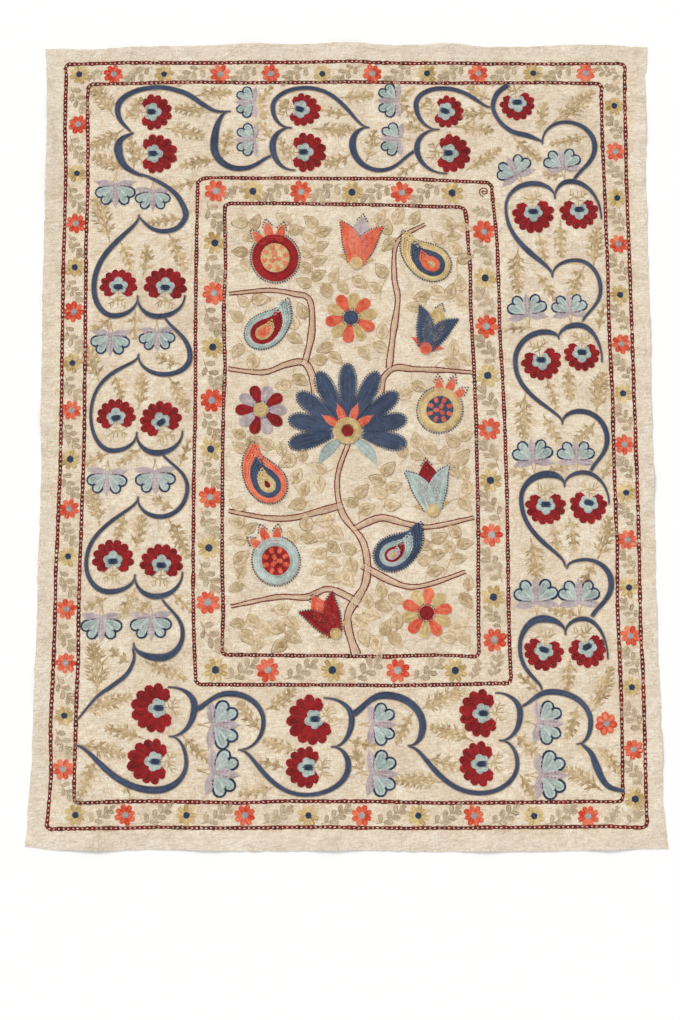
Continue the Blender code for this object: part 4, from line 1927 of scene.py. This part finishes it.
@dataclass
class Blooms:
    """The large generic blooms of the field, in several colours each."""

    stitch: float = 4.0

    def _bands(
        self, basket: Workbasket, at: Placement, outline: Line, middle: Point,
        colours: Sequence[str],
    ) -> None:  # fmt: skip
        """Fills an outline with bands that shrink to its middle, one colour after another.

        Args:
            basket: the workbasket.
            at: the bloom's placement.
            outline: its outline.
            middle: the place to which the bands shrink.
            colours: the piece of each band, the outermost first.
        """
        count = len(colours)
        for k, piece in enumerate(colours):
            share = 1 - (k + 0.5) / count
            points, widths = [], []
            for x, y in outline:
                dx, dy = x - middle[0], y - middle[1]
                points.append((middle[0] + dx * share, middle[1] + dy * share))
                widths.append(1.12 * math.hypot(dx, dy) / count)
            basket.work(piece, [Row(points, widths, True, 0.1 * (k % 2), 0.5)], at)

    def _dotted(self, basket: Workbasket, points: Line, at: Placement, closed: bool) -> None:
        """Edges a bloom with knots of dark indigo."""
        basket.work("field_knots", [plain_row(points, 3.2 / at.size, closed)], at)

    def pomegranate(self, basket: Workbasket, at: Placement, skin: str, flesh: str, core: str) -> None:
        """A round fruit with a crown of points, cut open on its seeds.

        Args:
            basket: the workbasket.
            at: the placement of its middle.
            skin: the piece of its rim.
            flesh: the piece of its flesh.
            core: the piece of its seeds and crown.
        """
        body = [off(0, 0, 360 * k / 44, 36, 34) for k in range(44)]
        for turn in (-38, 0, 38):
            petal = PetalShape(27, 13, widest=0.42, rounded=False, base=0.7)
            spot = at.inner(*off(0, 0, turn, 31, 17), 0.8 * turn)
            basket.work(core, petal.loops(3.6 / at.size), spot)
            self._dotted(basket, petal.outline(2.0)[4:-4], spot, False)
        self._bands(basket, at, body, (0, 0), [skin] * 3 + [flesh] * 5)
        for k in range(11):
            ring, turn = (16.5, 45 * k) if k < 8 else (6.0, 120 * k)
            seed = lifted(ring_rows(3.9, 2.6, squash=1.3), 1.5)
            basket.work(core, seed, at.inner(*off(0, 0, turn, ring), turn))
        self._dotted(basket, [(1.07 * x, 1.07 * y) for x, y in body[5:-4]], at, False)

    def tulip(self, basket: Workbasket, at: Placement, outer: str, inner: str, base: str) -> None:
        """A cup of two curved petals round a pointed one, on a small round base.

        Args:
            basket: the workbasket.
            at: the placement of its middle.
            outer: the piece of its curved petals.
            inner: the piece of its pointed petal.
            base: the piece of its base.
        """
        middle = PetalShape(68, 34, widest=0.5, rounded=False, base=0.4)
        basket.work(inner, middle.loops(self.stitch / at.size), at.inner(-20, 0))
        self._dotted(basket, middle.outline(2.0)[6:-6], at.inner(-20, 0), False)
        for side in (-1, 1):
            petal = PetalShape(66, 27, widest=0.42, rounded=False, base=0.5)
            spot = at.inner(-26, 5 * side, 24 * side)
            basket.work(outer, lifted(petal.ribs(6, bow=-7.0 * side), 0.9), spot)
            spine = bend((0, 0), (66, 0), -7.0 * side)
            widths = [2 * petal.half_width(0.02 + 0.96 * k / (len(spine) - 1)) for k in range(len(spine))]
            for row in edge_rows(spine, widths, 3.2 / at.size):
                basket.work("field_knots", [row], spot)
            sepal = PetalShape(26, 10, widest=0.45, rounded=False, base=0.4)
            basket.work(base, sepal.ribs(3, bow=-3.0 * side), at.inner(-30, 3 * side, 62 * side))
        basket.work(base, lifted(ring_rows(10, self.stitch / at.size), 1.4), at.inner(-27, 0))

    def curled_leaf(self, basket: Workbasket, at: Placement, *colours: str) -> None:
        """A drop-shaped leaf whose tip curls over, filled in bands of colour.

        Args:
            basket: the workbasket.
            at: the placement of its middle.
            *colours: the piece of each band, the outermost first.
        """
        shape = (
            (52, 18), (38, 27), (16, 30), (-8, 25), (-26, 10), (-30, -10), (-18, -26), (2, -29), (20, -20),
            (34, -6), (46, 4), (58, 6), (62, 10),
        )  # fmt: skip
        outline = flowing(shape, 5.0, closed=True)
        self._bands(basket, at, outline, (-4, -2), colours)
        self._dotted(basket, [(1.06 * x + 0.2, 1.06 * y) for x, y in outline], at, True)

    def round_flower(self, basket: Workbasket, at: Placement, petals: str, tips: str, eye: str) -> None:
        """An open flower of ten petals in two colours by turns.

        Args:
            basket: the workbasket.
            at: the placement of its middle.
            petals: the piece of each second petal.
            tips: the piece of the petals between them.
            eye: the piece of its eye.
        """
        shape = PetalShape(27, 17, widest=0.68, base=0.4)
        for k in range(10):
            spot = at.inner(*off(0, 0, 36 * k, 11), 36 * k)
            basket.work(petals if k % 2 else tips, shape.loops(3.7 / at.size), spot)
        basket.work(eye, ring_rows(11, 3.4), at)
        self._dotted(basket, ring_rows(14.6, 3.0, inner=11)[0].points, at, True)

    def work(self, basket: Workbasket, kind: Bloom, at: Placement, yarns: Sequence[str]) -> None:
        """Works one bloom.

        Args:
            basket: the workbasket.
            kind: its kind.
            at: its placement.
            yarns: the pieces of its colours, the outermost first.
        """
        ways = {
            Bloom.POMEGRANATE: self.pomegranate, Bloom.TULIP: self.tulip,
            Bloom.ROUND_FLOWER: self.round_flower, Bloom.CURLED_LEAF: self.curled_leaf,
        }  # fmt: skip
        ways[kind](basket, at, *yarns)

    def palmette(self, basket: Workbasket, at: Placement) -> None:
        """The great palmette in the middle of the field: a fan of indigo plumes over a bright heart.

        Args:
            basket: the workbasket.
            at: the placement of its heart.
        """
        for turn in range(-104, 105, 26):
            length = 66 + 16 * math.cos(math.radians(turn)) ** 2
            plume = PetalShape(length, 25, widest=0.66, base=0.35)
            spot = at.inner(*off(0, 0, turn, 24, 26), turn)
            basket.work("field_indigo", plume.loops(self.stitch / at.size, 0.06), spot)
            self._dotted(basket, plume.outline(1.8), spot, True)
        flame = PetalShape(30, 13, widest=0.5, rounded=False, base=0.5)
        for turn in (-58, -20, 20, 58):
            spot = at.inner(*off(0, 0, turn, 14, 15), turn)
            basket.work("field_coral", lifted(flame.ribs(4), 1.2), spot)
        basket.work("field_mustard", lifted(ring_rows(21, self.stitch / at.size, inner=9), 1.9), at)
        basket.work("field_crimson", lifted(ring_rows(9, 3.6 / at.size), 1.9), at)
        curl = PetalShape(52, 17, 0.5, False)
        for side in (-1, 1):
            basket.work("field_sea_green", curl.ribs(5, bow=-5 * side), at.inner(-14, 8 * side, 136 * side))


class BloomSpot(NamedTuple):
    """A bloom of the field: its kind, its placement and its colours, the outermost first."""

    kind: Bloom
    x: float
    y: float
    heading: float
    size: float
    colours: str  # R crimson, C coral, M mustard, G sea green, I indigo, L lilac
    flip: float = 1.0


FIELD_YARNS = {
    "R": "field_crimson", "C": "field_coral", "M": "field_mustard",
    "G": "field_sea_green", "I": "field_indigo", "L": "field_lilac",
}  # fmt: skip
BLOOM_SPOTS = (
    BloomSpot(Bloom.POMEGRANATE, -128, 322, 104, 1.22, "RMC"),
    BloomSpot(Bloom.TULIP, 22, 344, 82, 1.18, "CLM"),
    BloomSpot(Bloom.CURLED_LEAF, 150, 312, 120, 1.18, "MMIICCM"),
    BloomSpot(Bloom.CURLED_LEAF, -146, 186, 64, 1.12, "GGRRMCC", -1),
    BloomSpot(Bloom.ROUND_FLOWER, 8, 212, 10, 1.22, "CMI"),
    BloomSpot(Bloom.TULIP, 152, 184, 70, 1.12, "IMC"),
    BloomSpot(Bloom.ROUND_FLOWER, -152, 44, 0, 1.2, "RLM"),
    BloomSpot(Bloom.POMEGRANATE, 166, 44, 66, 1.12, "MIC"),
    BloomSpot(Bloom.CURLED_LEAF, -142, -88, 100, 1.2, "CCIIMMR"),
    BloomSpot(Bloom.TULIP, 148, -104, 98, 1.2, "GRM"),
    BloomSpot(Bloom.POMEGRANATE, -124, -226, 114, 1.16, "GRC"),
    BloomSpot(Bloom.CURLED_LEAF, 84, -214, 58, 1.12, "IIGGRLM", -1),
    BloomSpot(Bloom.ROUND_FLOWER, 140, -318, 12, 1.18, "MCR"),
    BloomSpot(Bloom.TULIP, -34, -330, 122, 1.05, "RCM"),
)


@dataclass
class FieldTree:
    """The generic flowering tree that fills the field."""

    trunk_width: float = 10.0
    blooms: Blooms = field(default_factory=Blooms)
    taken: list[Triple] = field(default_factory=list)
    leaf: PetalShape = PetalShape(27.0, 19.5, widest=0.33, rounded=False, base=0.5)
    step: float = 14.0  # from one leaf of a trail to the next, on the other side
    palmette: Placement = Placement(2, 6, 90, 1.14)
    # Round places that the palmette and its curls take up.
    palmette_room: tuple[Triple, ...] = ((2, 34, 96), (-66, 16, 40), (70, 16, 40), (0, -52, 34))
    low: Point = (-209.0, -386.0)  # the corners of the field's open ground
    high: Point = (216.0, 412.0)
    branches: tuple[tuple[float, tuple[Point, ...]], ...] = (
        (1.25, ((16, -388), (2, -325), (34, -262), (30, -196), (-8, -140), (-16, -78), (2, -20))),
        (0.95, ((30, -236), (78, -262), (112, -272), (150, -266), (206, -246))),
        (0.95, ((16, -168), (60, -150), (104, -160), (146, -166), (222, -150))),
        (0.95, ((-10, -128), (-54, -140), (-96, -150), (-140, -150), (-205, -138))),
        (0.90, ((22, -300), (-30, -276), (-70, -290), (-122, -290), (-200, -306))),
        (1.05, ((-56, 78), (-61, 106), (-76, 130), (-108, 126), (-148, 112), (-208, 118))),
        (1.00, ((60, 78), (66, 102), (86, 120), (120, 118), (168, 116), (222, 112))),
        (0.90, ((-74, 130), (-62, 186), (-66, 244), (-96, 256), (-140, 262), (-208, 256))),
        (0.85, ((76, 122), (84, 186), (92, 246), (86, 290), (92, 352), (140, 384))),
    )

    def _branch(self, basket: Workbasket, size: float, points: Line) -> None:
        """Works one branch that thins along its way, with a dark row on each side.

        Args:
            basket: the workbasket.
            size: its thickness as a share of the trunk's.
            points: the places that it passes through.
        """
        spine = flowing(points, 5.0)
        last = len(spine) - 1
        widths = [self.trunk_width * size * (1 - 0.62 * (i / last) ** 1.2) for i in range(last + 1)]
        for i, (x, y) in enumerate(spine):
            widths[i] *= 1 + 0.4 * drift(x / 26, y / 26, 8.8)
        basket.work("tree_branches", band_rows(spine, widths, 2))
        basket.work("branch_edges", edge_rows(spine, widths, 2.5))
        self.taken += [(x, y, widths[i] / 2 + 2) for i, (x, y) in enumerate(spine) if i % 2 == 0]

    def _is_free(self, x: float, y: float, room: float) -> bool:
        """Whether a round place lies clear of all that is worked, and inside the field.

        Args:
            x: the place's X.
            y: its Y.
            room: its radius.

        Returns:
            True where nothing is in the way.
        """
        (left, bottom), (right, top) = self.low, self.high
        if not (left + room < x < right + room * 0.2 and bottom + room < y < top - room):
            return False
        return all((x - a) ** 2 + (y - b) ** 2 > (r + room) ** 2 for a, b, r in self.taken)

    def _trail(self, basket: Workbasket, start: Point, heading: float, curl: float, leaves: range) -> None:
        """Works a curving trail with a leaf by turns on each side, where it finds room for enough of them.

        Args:
            basket: the workbasket.
            start: where its stem starts.
            heading: the way in which it starts, in degrees.
            curl: how far it turns at each step, in degrees.
            leaves: the fewest leaves it is worked for, and one more than the most.
        """
        x, y = start
        stem, spots, room = [start], [], []
        side = 1 if curl > 0 else -1
        while len(spots) < leaves.stop - 1:
            heading += curl
            x, y = off(x, y, heading, self.step)
            if not self._is_free(x, y, 0.5):
                break
            stem.append((x, y))
            side = -side
            way = heading + side * 54
            cx, cy = off(x, y, way, 15)
            if self._is_free(cx, cy, 9.0) and all(math.dist((cx, cy), (a, b)) > 20 for a, b, _ in room):
                size = 1 + 0.22 * drift(cx / 9, cy / 9, 4.4)
                spots.append(Placement(*off(x, y, way, 2.5), way + side * 8, size))
                room.append((cx, cy, 11.0))
            elif len(stem) > len(spots) + 2:
                break
        if len(spots) < leaves.start:
            return
        self.taken += room
        basket.work("leaf_stems", [tapered_row(flowing(stem[: len(spots) + 2], 6.0), 3.0, 0.7)])
        midrib = tapered_row([(-2, 0), (6, 0), (12, 0), (18, 0)], 2.0, 0.6, -0.35)
        for spot in spots:
            shade = 0.3 * drift(spot.x / 8, spot.y / 8, 9.4)
            basket.work("field_leaves", lifted(self.leaf.loops(3.8, shade + 0.08, 0.2), 0.3), spot)
            basket.work("leaf_outlines", [plain_row(self.leaf.outline(0.6), 1.7, True, shade - 0.2)], spot)
            basket.work("field_leaves", lifted([midrib], 1.2), spot)

    def _leaf_trails(self, basket: Workbasket) -> None:
        """Covers the open ground with trails: first off the boughs, then between them, then in the gaps.

        Args:
            basket: the workbasket.
        """
        chance = random.Random(7)
        for _, points in self.branches:
            spine = flowing(points, 5.0)
            for k, ((x, y), (nx, ny)) in enumerate(zip(spine, normals_of(spine))):
                if k % 7 == 3:
                    side = chance.choice((-1, 1))
                    ahead = math.degrees(math.atan2(ny, nx)) - 90 + side * chance.uniform(40, 60)
                    off = (x + side * nx * 9, y + side * ny * 9)
                    self._trail(basket, off, ahead, side * chance.uniform(-4, 12), range(3, 10))
        for leaves, pitch in ((range(4, 10), 30), (range(3, 6), 18), (range(2, 4), 14)):
            starts = [(x, y) for y in range(-384, 414, pitch) for x in range(-206, 228, pitch)]
            chance.shuffle(starts)
            for x, y in starts:
                curl = chance.choice((-1, 1)) * chance.uniform(5, 15)
                self._trail(basket, (x, y), chance.uniform(0, 360), curl, leaves)

    def work(self, basket: Workbasket) -> None:
        """Works the tree, its blooms and its leaves.

        Args:
            basket: the workbasket.
        """
        for size, points in self.branches:
            self._branch(basket, size, points)
        self.blooms.palmette(basket, self.palmette)
        self.taken += self.palmette_room
        for kind, x, y, heading, size, colours, flip in BLOOM_SPOTS:
            yarns = [FIELD_YARNS[letter] for letter in colours]
            self.blooms.work(basket, kind, Placement(x, y, heading, size, flip), yarns)
            for away, radius in ((0, 36), (26, 26)):
                self.taken.append((*off(x, y, heading, away), radius * size))
        self._leaf_trails(basket)


@dataclass
class CornerCurl:
    """A plain small curl in deep red thread, in the corner of the inner border."""

    x: float = CURL_SPOT[0]
    y: float = CURL_SPOT[1]
    start: float = math.degrees(0.6)
    turns: float = 1.6
    reach: float = 9.0

    def work(self, basket: Workbasket) -> None:
        """Works the curl from its middle outwards.

        Args:
            basket: the workbasket.
        """
        shares = [k / 29 for k in range(30)]
        points = [
            off(self.x, self.y, self.start + 360 * self.turns * share, self.reach * (0.12 + 0.88 * share))
            for share in shares
        ]
        basket.work("branch_edges", [plain_row(points, 2.4)])


# ---- Stage ----


@dataclass
class Studio:
    """A pale floor, soft light and the camera above the cloth."""

    photo_height: int = 1020
    focal_px: float = 1800.0
    tilt: float = 8.2  # degrees between the camera's way and straight down
    aim: Point = (-11.5, -135.6)  # where the camera's axis meets the surface
    distance: float = 3174.9
    sensor_mm: float = 36.0
    floor_half_m: float = 4.5
    floor_hex: str = "FFFFFF"
    sky: tuple[float, ...] = (1.0, 0.995, 0.985, 1.0)
    sky_strength: float = 0.72
    sun_strength: float = 1.35
    sun_turn: tuple[float, ...] = (-36.0, -34.0, 0.0)
    sun_width: float = 16.0  # degrees, for a soft edge to each shadow

    def camera(self) -> None:
        """Sets the camera where the photograph was taken from."""
        data = bpy.data.cameras.new("camera")
        data.sensor_fit = "VERTICAL"
        data.sensor_height = self.sensor_mm
        data.lens = self.focal_px / self.photo_height * self.sensor_mm
        turn = math.radians(self.tilt)
        back, up = self.distance * math.sin(turn), self.distance * math.cos(turn)
        seen_from = in_scene("camera", data)
        seen_from.location = (self.aim[0] * MM, (self.aim[1] - back) * MM, up * MM)
        seen_from.rotation_euler = (turn, 0.0, 0.0)
        bpy.context.scene.camera = seen_from

    def floor(self) -> None:
        """Lays a plain matt white sheet of paper just under the cloth."""
        half = self.floor_half_m
        corners = [(-half, -half, 0), (half, -half, 0), (half, half, 0), (-half, half, 0)]
        mesh = bpy.data.meshes.new("floor")
        mesh.from_pydata(corners, [], [(0, 1, 2, 3)])
        paper, add = new_material("matt_white_paper")
        surface = {"Base Color": linear(self.floor_hex), "Roughness": 1.0, "Specular IOR Level": 0.0}
        add("ShaderNodeOutputMaterial", (add("ShaderNodeBsdfPrincipled", surface),))
        mesh.materials.append(paper)
        in_scene("floor", mesh)

    def light(self) -> None:
        """Sets an even pale sky, and one soft lamp from the upper left."""
        world = bpy.data.worlds.new("studio")
        bpy.context.scene.world = world
        world.use_nodes = True
        sky = world.node_tree.nodes["Background"]
        sky.inputs["Color"].default_value = self.sky
        sky.inputs["Strength"].default_value = self.sky_strength
        data = bpy.data.lights.new("window", "SUN")
        data.energy = self.sun_strength
        data.angle = math.radians(self.sun_width)
        in_scene("window", data).rotation_euler = [math.radians(turn) for turn in self.sun_turn]
        settings = bpy.context.scene.view_settings
        settings.view_transform = "Standard"
        settings.look = "None"
        settings.exposure = 0.0


# Each piece with its thread, and where they differ its height above the ground and its stitch.
PIECES = (
    ("fern_sprigs", Thread.GOLD_TAUPE), ("fern_fronds", Thread.GOLD_TAUPE), ("sprig_leaves", Thread.FAWN),
    ("border_sprigs", Thread.TAUPE, 0.12, Stitch.STEM), ("coral_flowers", Thread.CORAL),
    ("mustard_flowers", Thread.MUSTARD), ("ash_eyes", Thread.ASH, 1.1),
    ("indigo_eyes", Thread.DARK_INDIGO, 1.1), ("scroll_edging", Thread.TAN, 1.1, Stitch.STEM),
    ("scroll_bands", Thread.INDIGO, 1.3), ("carnation_petals", Thread.MADDER_RED),
    ("trefoil_hearts", Thread.SEA_GREEN, 1.6), ("heart_eyes", Thread.DARK_INDIGO, 2.9),
    ("lotus_petals", Thread.SEA_GREEN), ("lotus_edges", Thread.DARK_INDIGO), ("lilac_leaves", Thread.LILAC),
    ("leaf_stems", Thread.SAND, 0.12, Stitch.STEM), ("leaf_outlines", Thread.GOLD_TAUPE, 0.12, Stitch.STEM),
    ("field_leaves", Thread.PALE_TAUPE), ("branch_edges", Thread.OXBLOOD, 0.12, Stitch.STEM),
    ("tree_branches", Thread.ROSE_TAN), ("field_crimson", Thread.MADDER_RED, 1.0),
    ("field_coral", Thread.CORAL, 1.0), ("field_mustard", Thread.MUSTARD, 1.0),
    ("field_sea_green", Thread.SEA_GREEN, 1.0), ("field_indigo", Thread.INDIGO, 1.0),
    ("field_lilac", Thread.LILAC, 1.0), ("field_knots", Thread.DARK_INDIGO, 1.3, Stitch.KNOT),
    ("guard_lines", Thread.GUARD_RED, 0.12, Stitch.LADDER),
    ("inner_guard_lines", Thread.GUARD_RED, 0.12, Stitch.FINE_LADDER),
)  # fmt: skip


def main() -> None:
    """Builds the cloth, works the embroidery and sets the stage."""
    logging.basicConfig(level=logging.INFO, format="%(name)s: %(message)s")
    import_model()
    ground = GroundCloth()
    cloth = ground.build()
    LOG.info("ground cloth: %d faces", len(cloth.data.polygons))
    basket = Workbasket(ground)
    for choice in PIECES:
        basket.choose(*choice)
    for motif in (GuardLines(), OUTER_BORDER, INNER_BORDER, ScrollVine(), FieldTree(), CornerCurl()):
        motif.work(basket)
    sewn = basket.sew()
    for piece in [cloth, *sewn]:
        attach(piece, "root")
    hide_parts("embroidered_cloth")
    studio = Studio()
    studio.camera()
    studio.floor()
    studio.light()


if __name__ == "__main__":
    main()
